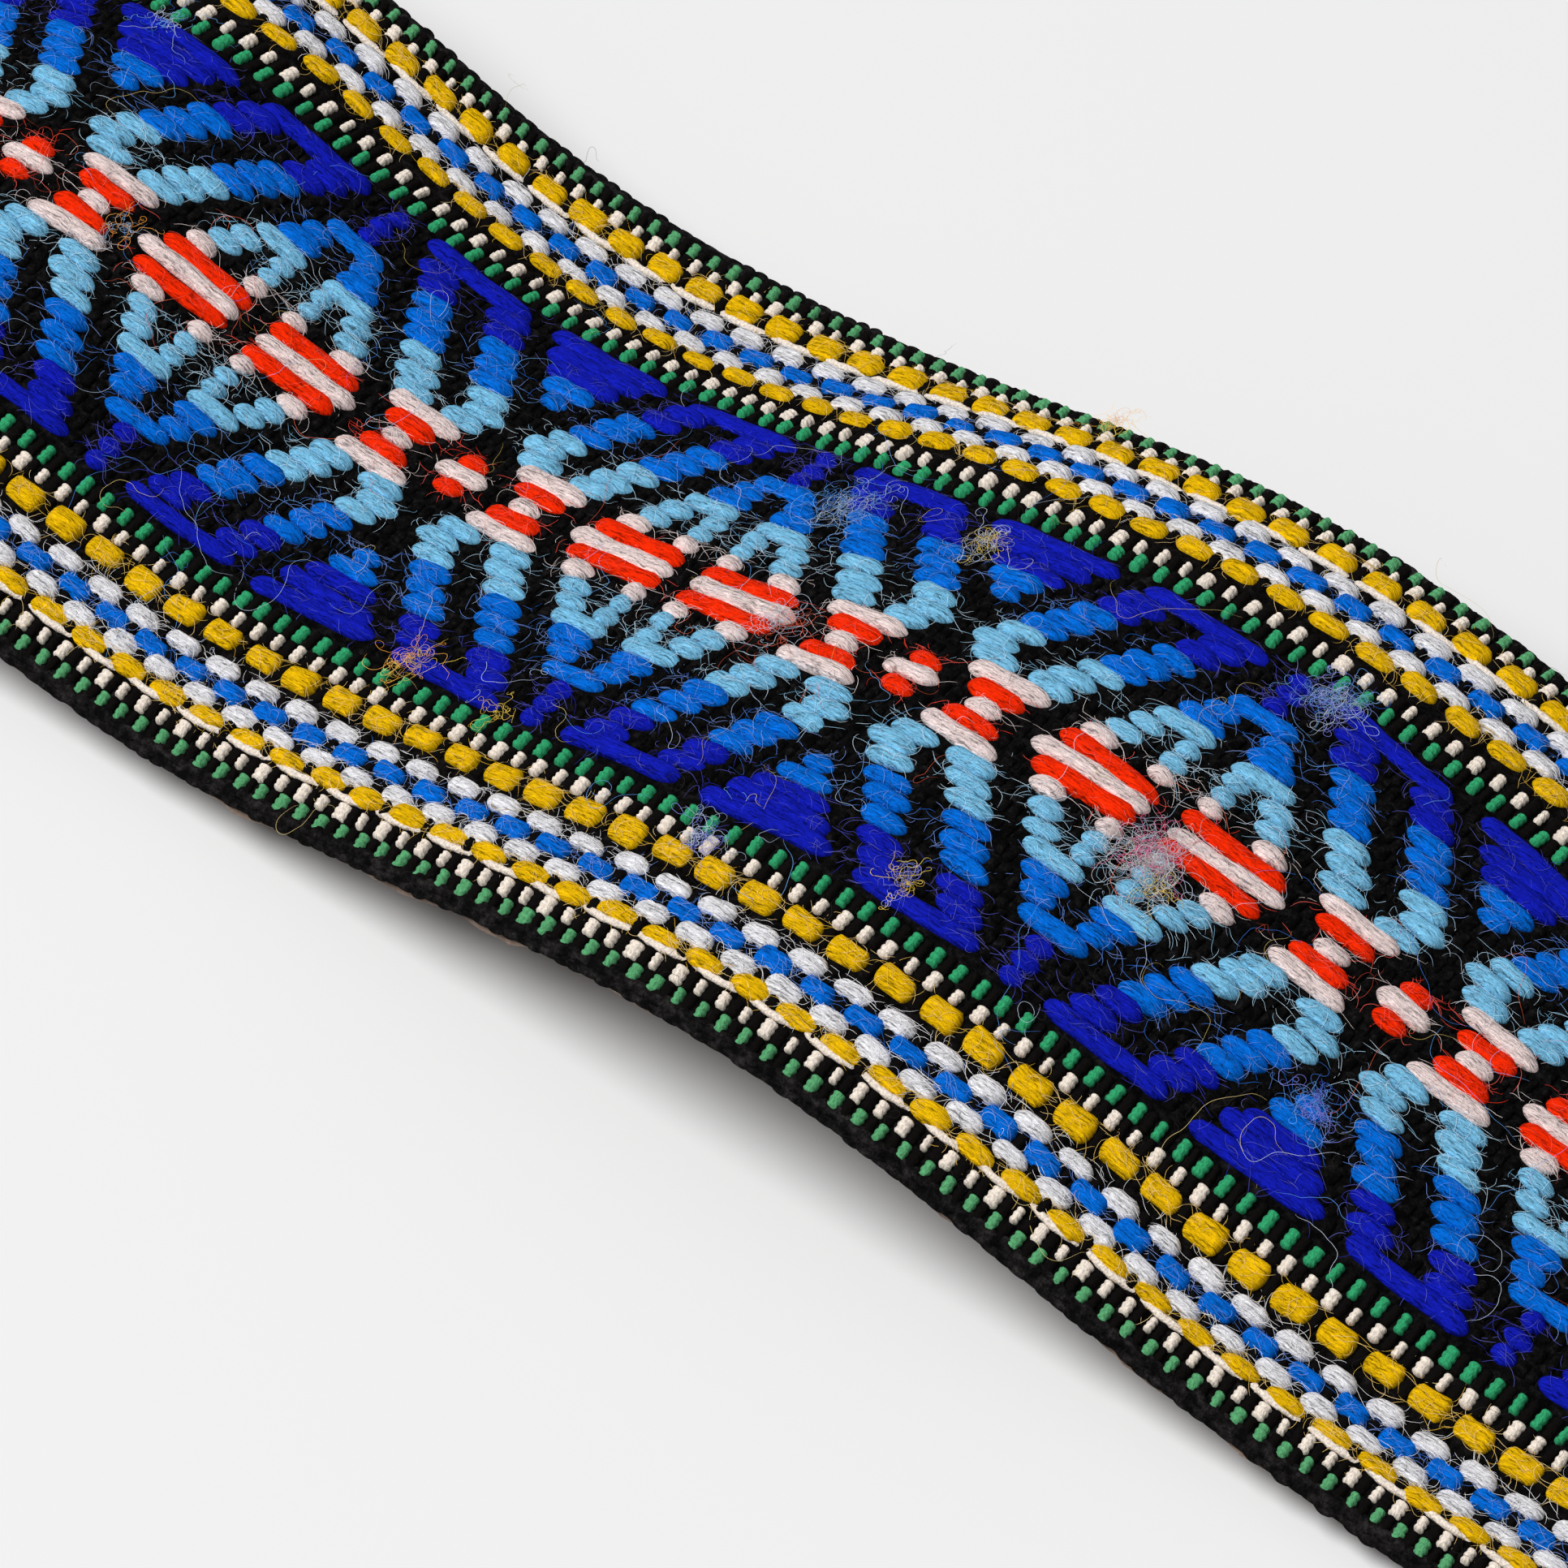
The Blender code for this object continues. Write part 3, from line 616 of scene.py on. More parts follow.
# ---------------------------------------------------------------- wool beads of the two borders
# Short floats of one length in five rows, eleven to a repeat, each row set half a bead from the next.
# The order of the rows is the same in both borders, so they are not mirror images.
BEAD = REPEAT / 11
BEAD_ROWS = (
    ("near_inner", "yellow", -16.90, 0.5, 2.48, 0.74, 0.60, 0.40),
    ("near_white_a", "white", -18.62, 0.0, 2.45, 0.60, 0.54, 0.75),
    ("near_blue", "blue", -19.62, 0.5, 2.35, 0.60, 0.52, 0.45),
    ("near_white_b", "white", -20.62, 0.0, 2.45, 0.60, 0.54, 0.75),
    ("near_outer", "yellow", -21.52, 0.5, 2.75, 0.57, 0.52, 1.05),
    ("far_inner", "yellow", 17.45, 0.5, 2.60, 0.60, 0.52, 0.80),
    ("far_white_a", "white", 18.42, 0.0, 2.45, 0.60, 0.54, 0.75),
    ("far_blue", "blue", 19.50, 0.5, 2.35, 0.60, 0.52, 0.45),
    ("far_white_b", "white", 20.55, 0.0, 2.45, 0.60, 0.54, 0.75),
    ("far_outer", "yellow", 22.15, 0.5, 2.55, 0.76, 0.62, 0.60),
)
bead_floats = {}
for row, colour, across, offset, length, half, high, tip in BEAD_ROWS:
    for number in range(repeats.start * 11, repeats.stop * 11):
        middle = (number + offset) * BEAD
        bead_floats.setdefault(colour, []).append(
            (middle - length * MM / 2, middle + length * MM / 2, across * MM, half * MM, high * MM, tip * MM))
for number, (colour, items) in enumerate(bead_floats.items()):
    lay_floats("border", colour, wool_material[colour], items, (13, 9), (6, 5), 200 + number)

# ---------------------------------------------------------------- ribbed dots of the two borders
# Small dots of smooth hard thread, cream and green, 22 to a repeat, each two or three turns of the
# thread side by side. Black turns of the same kind stand between them.
DOT = REPEAT / 22
DOT_ROWS = (
    ("green", -14.42, 0.5, 1.25), ("cream", -15.58, 0.0, 1.15), ("cream", -22.85, 0.5, 1.12),
    ("green_outer", -23.90, 0.0, 1.14),
    ("green", 14.35, 0.0, 1.22), ("cream", 15.55, 0.5, 1.20), ("cream", 23.10, 0.0, 1.12),
    ("green_outer", 24.02, 0.5, 1.10),
)


def raise_dots(dots, along_steps, across_steps, seed):
    """Dots as little stacks of ribs: (middle, across, half length, half width, height) each."""
    chance = np.random.default_rng(seed)
    middle, across, half_long, half_wide, high = np.array(dots).T
    count = len(dots)
    middle = middle + chance.normal(0, 0.04 * MM, count)
    half_long = half_long * (1 + chance.normal(0, 0.10, count))
    half_wide = half_wide * (1 + chance.normal(0, 0.05, count))
    high = high * (1 + chance.normal(0, 0.08, count))
    t = np.linspace(-1, 1, across_steps)
    end = np.sqrt(np.clip(1 - np.abs(t) ** 5, 0, 1))
    ribs = 1 - 0.20 * np.abs(np.sin(1.5 * math.pi * t + chance.uniform(-0.5, 0.5, count)[:, None])) ** 3
    turn = np.linspace(-1.8, 1.8, along_steps)
    slant = chance.normal(0, 0.05, count)[:, None] * t[None] * half_wide[:, None]
    aside = across[:, None] + half_wide[:, None] * t[None]
    aside = np.repeat(aside[:, :, None], along_steps, 2)
    width = (half_long[:, None] * (0.3 + 0.7 * end)[None] * ribs)[:, :, None]
    places = middle[:, None, None] + slant[:, :, None] + width * np.sin(turn)
    body = end[None, :, None] * ribs[:, :, None] * (np.cos(turn) + 0.1) - 0.1
    rise = ground_top(aside) + high[:, None, None] * body
    points = on_strap(places, aside, rise)
    seeds = np.arange(count, dtype=float)[:, None, None] * 0.001 + np.zeros_like(places)
    return points[:, :, ::-1], np.stack((places, aside, seeds), -1)[:, :, ::-1]


def hard_thread(name, colour, gloss=0.12):
    """Smooth hard-twisted thread: fine plies across the dot, little fuzz."""
    material, tree, shader = node_material(name)
    plies = noise(tree, scaled_weave(tree, 7.0, 5.0), detail=2)
    tint(tree, shader, plies, ((0.3, shade(colour, 0.65)), (0.66, shade(colour, 1.15))))
    bump(tree, shader, plies, 0.10 * MM)
    shader.inputs["Roughness"].default_value = 0.9
    shader.inputs["Specular IOR Level"].default_value = gloss
    return material


dot_material = {
    "green": hard_thread("green_thread", (0.022, 0.27, 0.11)),
    "green_outer": hard_thread("pale_green_thread", (0.075, 0.28, 0.12)),
    "cream": hard_thread("cream_thread", (0.68, 0.60, 0.52)),
    "black": hard_thread("black_thread", (0.0032, 0.0026, 0.0024), 0.04),
    "knot": black_ground,
}
dots = {}
for colour, across, offset, length in DOT_ROWS:
    for number in range(repeats.start * 22, repeats.stop * 22):
        middle = (number + offset) * DOT
        small = colour == "cream" and number % 2
        half_long = (0.32 if small else 0.42 if colour == "cream" else 0.36) * MM
        half_wide = (length * (0.86 if small else 1.0)) * MM / 2
        dots.setdefault(colour, []).append((middle, across * MM, half_long, half_wide, 0.50 * MM))
        dots.setdefault("black", []).append(
            (middle + DOT / 2, across * MM, 0.33 * MM, length * MM * 0.55, 0.38 * MM))
for row, colour, across, offset, length, half, high, tip in BEAD_ROWS:
    for number in range(repeats.start * 11, repeats.stop * 11):
        middle = (number + offset + 0.5) * BEAD
        dots["black"].append((middle, across * MM, 0.36 * MM, half * 1.0 * MM, 0.36 * MM))
for row, colour, spans in PANEL:
    covered = [(first + shift, last + shift) for first, last in whole_spans(spans) for shift in (-44, 0, 44)]
    for step in range(-22, 22):
        if any(first - 0.3 < step + 0.5 * (row % 2) < last + 0.3 for first, last in covered):
            continue
        for side in ((1,) if row == 0 else (1, -1)):
            for repeat in repeats:
                middle = repeat * REPEAT + (step + 0.5 * (row % 2)) * STEP
                if CLOSE_START < middle < CLOSE_END:
                    dots.setdefault("knot", []).append(
                        (middle, side * row * ROW_PITCH, 0.34 * MM, 0.52 * MM, 0.30 * MM))


def dot_sections(items):
    for word, chosen in sections([(item[0] - item[2], item[0] + item[2], *item) for item in items]):
        yield word, [item[2:] for item in chosen]


for number, (colour, items) in enumerate(dots.items()):
    for word, chosen in dot_sections(items):
        grid = (7, 9 if colour == "knot" else 13) if word.startswith("middle") else (4, 6)
        points, weave = raise_dots(chosen, *grid, 300 + number)
        obj = mesh_from_grid("dots_" + colour + "_" + word, points, weave)
        obj.data.materials.append(dot_material[colour])
        hold(obj, "adjuster" if word == "adjuster" else "long_run")

# ---------------------------------------------------------------- seams
# Twisted cream thread, sewn by machine along both borders through band and backing, a stitch each
# 3.9 mm. It runs under the outer yellow beads, so each stitch shows between two of them.
STITCH = 3.86 * MM


def thread_tube(name, centre, up, radius, plies=3, twist=0.9 * MM, sides=10):
    """A twisted thread along a line of points: up is the way out of the cloth at each of them."""
    along = np.gradient(centre, axis=0)
    along /= np.linalg.norm(along, axis=1)[:, None]
    side = np.cross(along, up)
    side /= np.linalg.norm(side, axis=1)[:, None]
    out = np.cross(side, along)
    run = np.concatenate(([0], np.cumsum(np.linalg.norm(np.diff(centre, axis=0), axis=1))))
    around = np.linspace(0, 2 * math.pi, sides, endpoint=False)
    width = radius * (1 + 0.13 * np.cos(plies * around[None] + 2 * math.pi * run[:, None] / twist))
    points = centre[:, None] + width[..., None] * (
        np.cos(around)[None, :, None] * side[:, None] + np.sin(around)[None, :, None] * out[:, None])
    weave = np.stack(np.broadcast_arrays(run[:, None], around[None] * radius, 0.0), -1)
    return mesh_from_grid(name, points[None], weave[None], closed=True)


def sew(name, start, end, across, radius, pitch):
    """A row of stitches that dips into the cloth at each hole."""
    along = np.arange(start, end, 0.13 * MM)
    phase = (along / pitch) % 1.0
    arch = np.sin(math.pi * phase) ** 0.5
    aside = across + 0.12 * MM * np.cos(2 * math.pi * phase)
    height = ground_top(aside) - 0.55 * MM + 0.72 * MM * arch
    centre = on_strap(along, aside, height)
    up = on_strap(along, aside, height + 1 * MM) - centre
    seam = thread_tube(name, centre, up, radius)
    seam.data.materials.append(dot_material["cream"])
    return seam


for across, word in ((-21.98 * MM, "near"), (21.42 * MM, "far")):
    seam = sew("seam_" + word + "_long_run", length_at(FRONT_EDGE_X), SPLIT, across, 0.23 * MM, STITCH)
    hold(seam, "long_run")
    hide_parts("seam_thread_" + word)
    seam = sew("seam_" + word + "_adjuster", SPLIT, STRAP_END - 2 * MM, across, 0.23 * MM, STITCH)
    hold(seam, "adjuster")

# ---------------------------------------------------------------- loose fibres
# The wool is worn: fine fibres stand out of every float, lie across their neighbours and curl over
# the black ground. A hair is about 0.04 mm thick, and the same colour as its thread.


def fibres(name, material, along, across, heading, length, wave, height_of, half_width, joints, seed):
    """Thin ribbons that curl over the strap; height_of(across, t) is their height as they go."""
    chance = np.random.default_rng(seed)
    count = len(along)
    bend = chance.normal(0, 1, (count, joints + 1))
    for joint in range(1, joints + 1):
        bend[:, joint] = 0.82 * bend[:, joint - 1] + 0.57 * bend[:, joint]
    turn = heading[:, None] + wave * np.cumsum(bend, 1)
    step = (length / joints)[:, None]
    places = along[:, None] + np.cumsum(np.cos(turn) * step, 1)
    aside = across[:, None] + np.cumsum(np.sin(turn) * step, 1)
    aside = np.clip(aside, -1.03 * HALF_BAND, 1.03 * HALF_BAND)
    t = np.linspace(0, 1, joints + 1)
    width = half_width * (1 - 0.7 * np.abs(2 * t - 1) ** 3)
    height = height_of(aside, t[None])
    edges = []
    for side in (-1, 1):
        edges.append(on_strap(places - side * width * np.sin(turn), aside + side * width * np.cos(turn),
                              height))
    points = np.stack(edges, 2)
    tone = chance.random(count)[:, None, None] + np.zeros((1, 1, 2))
    weave = np.stack(np.broadcast_arrays(places[:, :, None], aside[:, :, None], tone), -1)
    obj = mesh_from_grid(name, points, weave)
    obj.data.materials.append(material)
    return obj


def hair_material(name, dull, bright, gloss=0.15):
    """Single fibres, each a little lighter or darker than the next."""
    material, tree, shader = node_material(name)
    which = tree.nodes.new("ShaderNodeAttribute")
    which.attribute_name = "weave"
    split = tree.nodes.new("ShaderNodeSeparateXYZ")
    tree.links.new(which.outputs["Vector"], split.inputs[0])
    tint(tree, shader, split.outputs["Z"], ((0.0, dull), (1.0, bright)))
    shader.inputs["Roughness"].default_value = 0.8
    shader.inputs["Specular IOR Level"].default_value = gloss
    return material


def lift_towards(colour, white):
    return tuple(channel * (1 - white) + 0.85 * white for channel in colour)


def scattered(items, share, seed):
    """Fibre starts on floats: along, across, the float's half width, height and middle."""
    chance = np.random.default_rng(seed)
    start, end, across, half, high, tip = np.array(items).T
    times = chance.poisson(share, len(items))
    pick = np.repeat(np.arange(len(items)), times)
    along = start[pick] + (end - start)[pick] * chance.random(len(pick))
    aside = across[pick] + half[pick] * chance.uniform(-0.95, 0.95, len(pick))
    return along, aside, across[pick], half[pick], high[pick], chance


FIBRE_TINTS = {"white": 0.45, "blush": 0.4, "red": 0.12, "pale_blue": 0.55, "blue": 0.25, "indigo": 0.12,
               "yellow": 0.3}
hair_of = {}
for colour, white in FIBRE_TINTS.items():
    hair_of[colour] = hair_material(colour + "_fibre", shade(WOOLS[colour], 0.8),
                                    lift_towards(WOOLS[colour], white))
all_floats = {colour: floats.get(colour, []) + bead_floats.get(colour, []) for colour in WOOLS}
for number, (colour, items) in enumerate(all_floats.items()):
    for word, chosen in sections(items):
        close = word.startswith("middle")
        along, aside, middle, half, high, chance = scattered(chosen, 20 if close else 2, 400 + number)
        count = len(along)
        heading = chance.normal(0, 0.35, count) + math.pi * chance.integers(0, 2, count)
        above = chance.uniform(0.02, 0.13, count)[:, None] * MM

        def lying(across, t):
            dome = np.sqrt(np.clip(1 - ((across - middle[:, None]) / half[:, None]) ** 2, 0.04, 1))
            return ground_top(across) + high[:, None] * dome ** 0.8 + above

        fuzz = fibres("fuzz_" + colour + "_" + word, hair_of[colour], along, aside, heading,
                      chance.uniform(0.6, 1.7, count) * MM, 0.20, lying, 0.009 * MM, 7 if close else 4,
                      500 + number)
        hold(fuzz, "adjuster" if word == "adjuster" else "long_run")
        share = 0.4 if not close else 0.6 if colour in bead_floats else 1.2
        along, aside, middle, half, high, chance = scattered(chosen, share, 600 + number)
        count = len(along)
        top = chance.uniform(0.15, 0.45, count)[:, None] * MM

        def arching(across, t):
            return ground_top(across) + high[:, None] * (0.75 - 0.35 * t) + top * np.sin(math.pi * t)

        heading = chance.uniform(0, 6.28, count)
        length = 0.4 * MM + chance.exponential(0.55 * MM, count)
        halo = fibres("halo_" + colour + "_" + word, hair_of[colour], along, aside, heading, length, 0.50,
                      arching, 0.007 * MM, 12 if close else 6, 700 + number)
        hold(halo, "adjuster" if word == "adjuster" else "long_run")

# ---------------------------------------------------------------- stray hairs and lint
# Long hairs that have worked loose and lie over the band, and small tufts of lint caught on it:
# pale, blue, yellow, pink and grey, each a tangle of curls a few millimetres across.
STRAYS = (
    ("pale", (0.20, 0.28, 0.40), (0.50, 0.56, 0.66), 90, (-14, 14)),
    ("blue", (0.01, 0.08, 0.40), (0.15, 0.38, 0.72), 110, (-15, 15)),
    ("rust", (0.22, 0.02, 0.005), (0.70, 0.12, 0.06), 70, (-4, 4)),
    ("straw", (0.25, 0.17, 0.02), (0.60, 0.48, 0.20), 80, (-24, 24)),
    ("dark", (0.003, 0.003, 0.003), (0.016, 0.014, 0.013), 700, (-25, 25)),
)
stray_hair = {}
for number, (word, dull, bright, count, reach) in enumerate(STRAYS):
    chance = np.random.default_rng(800 + number)
    stray_hair[word] = hair_material(word + "_hair", dull, bright)
    along = chance.uniform(CLOSE_START, CLOSE_END, count)
    aside = chance.uniform(reach[0], reach[1], count) * MM
    base = chance.uniform(0.45, 0.70, count)[:, None] * MM
    swing = chance.uniform(0.05, 0.45, count)[:, None] * MM
    beat = chance.uniform(3, 12, count)[:, None]

    def drifting(across, t):
        return ground_top(across) + base + swing * np.sin(beat * t)

    hairs = fibres("stray_" + word, stray_hair[word], along, aside, chance.uniform(0, 6.28, count),
                   chance.uniform(2.0, 11.0, count) * MM * (0.4 if word == "dark" else 1.0), 0.14, drifting,
                   0.009 * MM, 60, 820 + number)
    hold(hairs, "long_run")

TUFTS = (
    (34.7, -2.4, 1.0, 150, ("grey", "grey", "magenta", "pale")),
    (36.2, -4.0, 0.45, 30, ("lint_yellow", "grey")),
    (25.6, -12.3, 0.5, 34, ("lint_yellow", "indigo_lint")),
    (50.0, -8.0, 0.7, 40, ("indigo_lint", "blue")),
    (35.3, 13.0, 0.9, 90, ("indigo_lint", "pale", "blue")),
    (13.5, 10.5, 0.7, 50, ("grey", "pale", "lint_yellow")),
    (14.6, -15.5, 0.6, 36, ("indigo_lint", "pale")),
    (11.4, 24.0, 0.6, 30, ("orange", "lint_yellow")),
    (7.5, -1.2, 0.9, 50, ("pale", "rust")),
    (4.4, 9.1, 1.2, 70, ("pale", "blue")),
    (-8.7, -13.2, 0.5, 40, ("orange", "lint_yellow")),
    (-1.3, -13.5, 0.3, 14, ("lint_yellow",)),
    (-43.0, -0.8, 0.5, 20, ("pale", "orange")),
    (-52.0, 12.9, 0.6, 24, ("blue", "pale")),
)
TUFT_COLOURS = {
    "grey": ((0.20, 0.19, 0.19), (0.60, 0.58, 0.58)),
    "magenta": ((0.35, 0.02, 0.10), (0.70, 0.12, 0.28)),
    "lint_yellow": ((0.45, 0.28, 0.02), (0.85, 0.62, 0.10)),
    "indigo_lint": ((0.05, 0.05, 0.40), (0.25, 0.28, 0.70)),
    "orange": ((0.60, 0.20, 0.02), (0.85, 0.42, 0.08)),
}
for word, (dull, bright) in TUFT_COLOURS.items():
    stray_hair[word] = hair_material(word + "_hair", dull, bright)
for number, (x, y, size, count, words) in enumerate(TUFTS):
    for order, word in enumerate(words):
        chance = np.random.default_rng(900 + number * 10 + order)
        share = count // len(words)
        along = length_at(x * MM) + chance.normal(0, 0.65 * size, share) * MM
        aside = y * MM + chance.normal(0, 0.65 * size, share) * MM
        base = chance.uniform(0.5, 1.05, share)[:, None] * MM

        def tangled(across, t):
            return ground_top(across) + base * (1 - 0.25 * t) + 0.12 * MM * np.sin(9 * t + base / MM * 9)

        heading = chance.uniform(0, 6.28, share)
        length = chance.uniform(1.5, 6.0, share) * MM * size ** 0.5
        name = "lint_%d_%s_%d" % (number, word, order)
        tuft = fibres(name, stray_hair[word], along, aside, heading, length, 0.38, tangled, 0.010 * MM, 36,
                      950 + number * 10 + order)
        hold(tuft, "long_run")

# ---------------------------------------------------------------- leather ends
# Two black leather layers at each end hold the strap, or its webbing, between them. The edges are
# rounded. A keyhole, a round hole with a slit behind it, goes over the strap button.
LEATHER_THICKNESS = 1.6 * MM
EDGE_ROUND = 0.4 * MM
TAB_HALF_WIDTH = 27 * MM
TAB_CORNER = 3 * MM
TAB_TIP_RADIUS = 16 * MM
TAB_STRAIGHT = 44 * MM
KEYHOLE_RADIUS = 4.5 * MM
KEYHOLE_FROM_TIP = 22 * MM
SLIT_LENGTH = 13 * MM
SLIT_HALF_WIDTH = 0.5 * MM
STEP_FROM_EDGE = 34 * MM
STEP_LENGTH = 14 * MM

black_leather, tree, shader = node_material("black_leather")
where = tree.nodes.new("ShaderNodeTexCoord").outputs["Object"]
pebbles = tree.nodes.new("ShaderNodeTexVoronoi")
pebbles.feature = "DISTANCE_TO_EDGE"
pebbles.inputs["Scale"].default_value = 1500.0
pebbles.inputs["Randomness"].default_value = 1.0
tree.links.new(where, pebbles.inputs["Vector"])
creases = noise(tree, where, 420.0, 5, 0.65)
grain = combine(tree, "ADD", combine(tree, "MULTIPLY", pebbles.outputs["Distance"], 0.9), creases)
tint(tree, shader, grain,
     ((0.35, (0.003, 0.0028, 0.0026)), (0.75, (0.009, 0.008, 0.0075)), (1.0, (0.016, 0.0145, 0.0135))))
bump(tree, shader, grain, 0.22 * MM)
polish = tree.nodes.new("ShaderNodeMapRange")
polish.inputs["To Min"].default_value = 0.58
polish.inputs["To Max"].default_value = 0.38
tree.links.new(noise(tree, where, 90.0, 3, 0.6), polish.inputs["Value"])
tree.links.new(polish.outputs["Result"], shader.inputs["Roughness"])
shader.inputs["Specular IOR Level"].default_value = 0.32


def quarter_turns(x, y, radius, start, end, steps):
    turn = np.radians(np.linspace(start, end, steps + 1))
    return [(x + radius * math.cos(a), y + radius * math.sin(a)) for a in turn]


def tab_outline(length, inset):
    """Half of the outline from the sewn edge to the tip, mirrored into a closed line."""
    tip = length - TAB_TIP_RADIUS
    taper = math.degrees(math.asin((TAB_HALF_WIDTH - TAB_TIP_RADIUS) / (tip - TAB_STRAIGHT)))
    half = quarter_turns(TAB_CORNER, TAB_HALF_WIDTH - TAB_CORNER, TAB_CORNER - inset, 180, 90, 8)
    half.append((TAB_STRAIGHT - inset * 0.15, TAB_HALF_WIDTH - inset))
    half += quarter_turns(tip, 0, TAB_TIP_RADIUS - inset, 90 - taper, 0, 24)
    return half + [(x, -y) for x, y in reversed(half[:-1])]


def keyhole(length, inset):
    centre = length - KEYHOLE_FROM_TIP
    radius = KEYHOLE_RADIUS + inset
    slit = SLIT_HALF_WIDTH + inset
    open_at = math.degrees(math.asin(slit / radius))
    line = quarter_turns(centre, 0, radius, 180 - open_at, open_at - 180, 40)
    end = centre - KEYHOLE_RADIUS - SLIT_LENGTH + slit
    return line + quarter_turns(end, 0, slit, 270, 90, 8)


def leather_layer(name, tip_x, edge_x, height_at):
    """One leather layer, cut out flat with its keyhole and rounded edges, then bent over what it holds."""
    curve = bpy.data.curves.new(name, "CURVE")
    curve.dimensions = "2D"
    curve.fill_mode = "BOTH"
    curve.extrude = LEATHER_THICKNESS / 2 - EDGE_ROUND
    curve.bevel_depth = EDGE_ROUND
    curve.bevel_resolution = 2
    for line in (tab_outline(abs(tip_x - edge_x), EDGE_ROUND), keyhole(abs(tip_x - edge_x), EDGE_ROUND)):
        spline = curve.splines.new("POLY")
        spline.points.add(len(line) - 1)
        for spot, (x, y) in zip(spline.points, line):
            spot.co = (x, y, 0, 1)
        spline.use_cyclic_u = True
    pattern = bpy.data.objects.new(name + "_pattern", curve)
    bpy.context.scene.collection.objects.link(pattern)
    bpy.context.view_layer.update()
    mesh = bpy.data.meshes.new_from_object(pattern.evaluated_get(bpy.context.evaluated_depsgraph_get()))
    bpy.data.objects.remove(pattern, do_unlink=True)
    bm = bmesh.new()
    bm.from_mesh(mesh)
    bmesh.ops.remove_doubles(bm, verts=bm.verts, dist=0.003 * MM)
    for x in np.arange(STEP_FROM_EDGE - 2 * MM, STEP_FROM_EDGE + STEP_LENGTH + 2 * MM, 1 * MM):
        bmesh.ops.bisect_plane(bm, geom=bm.verts[:] + bm.edges[:] + bm.faces[:], plane_co=(x, 0, 0),
                               plane_no=(1, 0, 0))
    outward = 1 if tip_x > edge_x else -1
    for vert in bm.verts:
        vert.co.z += LEATHER_THICKNESS / 2 + height_at(vert.co.x)
        vert.co.x = edge_x + outward * vert.co.x
        vert.co.y *= outward
    bmesh.ops.recalc_face_normals(bm, faces=bm.faces)
    bm.to_mesh(mesh)
    bm.free()
    mesh.materials.clear()
    mesh.materials.append(black_leather)
    mesh.shade_smooth()
    mesh.set_sharp_from_angle(angle=math.radians(50))
    obj = bpy.data.objects.new(name, mesh)
    bpy.context.scene.collection.objects.link(obj)
    return obj


TABS = (("front_tab", "strap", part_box("front_tab_bottom")[0][0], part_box("front_tab_bottom")[1][0]),
        ("tail_tab", "tail_tab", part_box("tail_tab_bottom")[1][0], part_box("tail_tab_bottom")[0][0]))
for prefix, body, tip_x, edge_x in TABS:
    under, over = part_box(prefix + "_bottom"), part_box(prefix + "_top")
    raised = over[1][2] - LEATHER_THICKNESS
    settled = over[0][2]

    def stepped(x):
        return raised + (settled - raised) * float(smooth_step((x - STEP_FROM_EDGE) / STEP_LENGTH))

    lower = leather_layer(prefix + "_lower_leather", tip_x, edge_x, lambda x: under[0][2])
    upper = leather_layer(prefix + "_upper_leather", tip_x, edge_x, stepped)
    for layer, node in ((lower, "_bottom"), (upper, "_top")):
        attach(layer, body)
        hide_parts(prefix + node)

# ---------------------------------------------------------------- thread of the leather ends
# The same cream thread in a box of stitches round what each end holds, 2.8 mm in from the edge.
TAB_STITCH = 3.4 * MM
for prefix, body, tip_x, edge_x in TABS:
    low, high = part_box(prefix + "_thread")
    corner = 1.5 * MM
    line = []
    for x, y, start in ((high[0] - corner, high[1] - corner, 0), (low[0] + corner, high[1] - corner, 90),
                        (low[0] + corner, low[1] + corner, 180), (high[0] - corner, low[1] + corner, 270)):
        line += quarter_turns(x, y, corner - 0.3 * MM, start, start + 90, 6)
    line = np.array(line + line[:1])
    run = np.concatenate(([0], np.cumsum(np.linalg.norm(np.diff(line, axis=0), axis=1))))
    stitches = round(run[-1] / TAB_STITCH)
    place = np.linspace(0, run[-1], stitches * 20)
    dip = np.sin(math.pi * place / run[-1] * stitches) ** 2
    leather_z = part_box(prefix + "_top")[1][2]
    centre = np.column_stack((np.interp(place, run, line[:, 0]), np.interp(place, run, line[:, 1]),
                              leather_z - 0.25 * MM + 0.38 * MM * np.sqrt(dip)))
    up = np.tile((0.0, 0.0, 1.0), (len(centre), 1))
    stitching = thread_tube(prefix + "_stitching", centre, up, 0.32 * MM)
    stitching.data.materials.append(dot_material["cream"])
    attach(stitching, body)
    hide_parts(prefix + "_thread")

# ---------------------------------------------------------------- rivets
# A nickel-plated tubular rivet at each side of each end: a domed cap above, a flat disc below.
nickel, tree, shader = node_material("nickel")
where = tree.nodes.new("ShaderNodeTexCoord").outputs["Object"]
wear = noise(tree, where, 260.0, 6, 0.7)
tint(tree, shader, wear, ((0.35, (0.50, 0.485, 0.46)), (0.7, (0.68, 0.665, 0.64))))
shine = tree.nodes.new("ShaderNodeMapRange")
shine.inputs["To Min"].default_value = 0.16
shine.inputs["To Max"].default_value = 0.36
tree.links.new(noise(tree, where, 700.0, 4, 0.7), shine.inputs["Value"])
tree.links.new(shine.outputs["Result"], shader.inputs["Roughness"])
bump(tree, shader, wear, 0.03 * MM)
shader.inputs["Metallic"].default_value = 1.0


def weld(obj):
    """Joins the points that lie on one another, and turns every face outwards."""
    bm = bmesh.new()
    bm.from_mesh(obj.data)
    bmesh.ops.remove_doubles(bm, verts=bm.verts, dist=0.001 * MM)
    bmesh.ops.recalc_face_normals(bm, faces=bm.faces)
    bm.to_mesh(obj.data)
    bm.free()


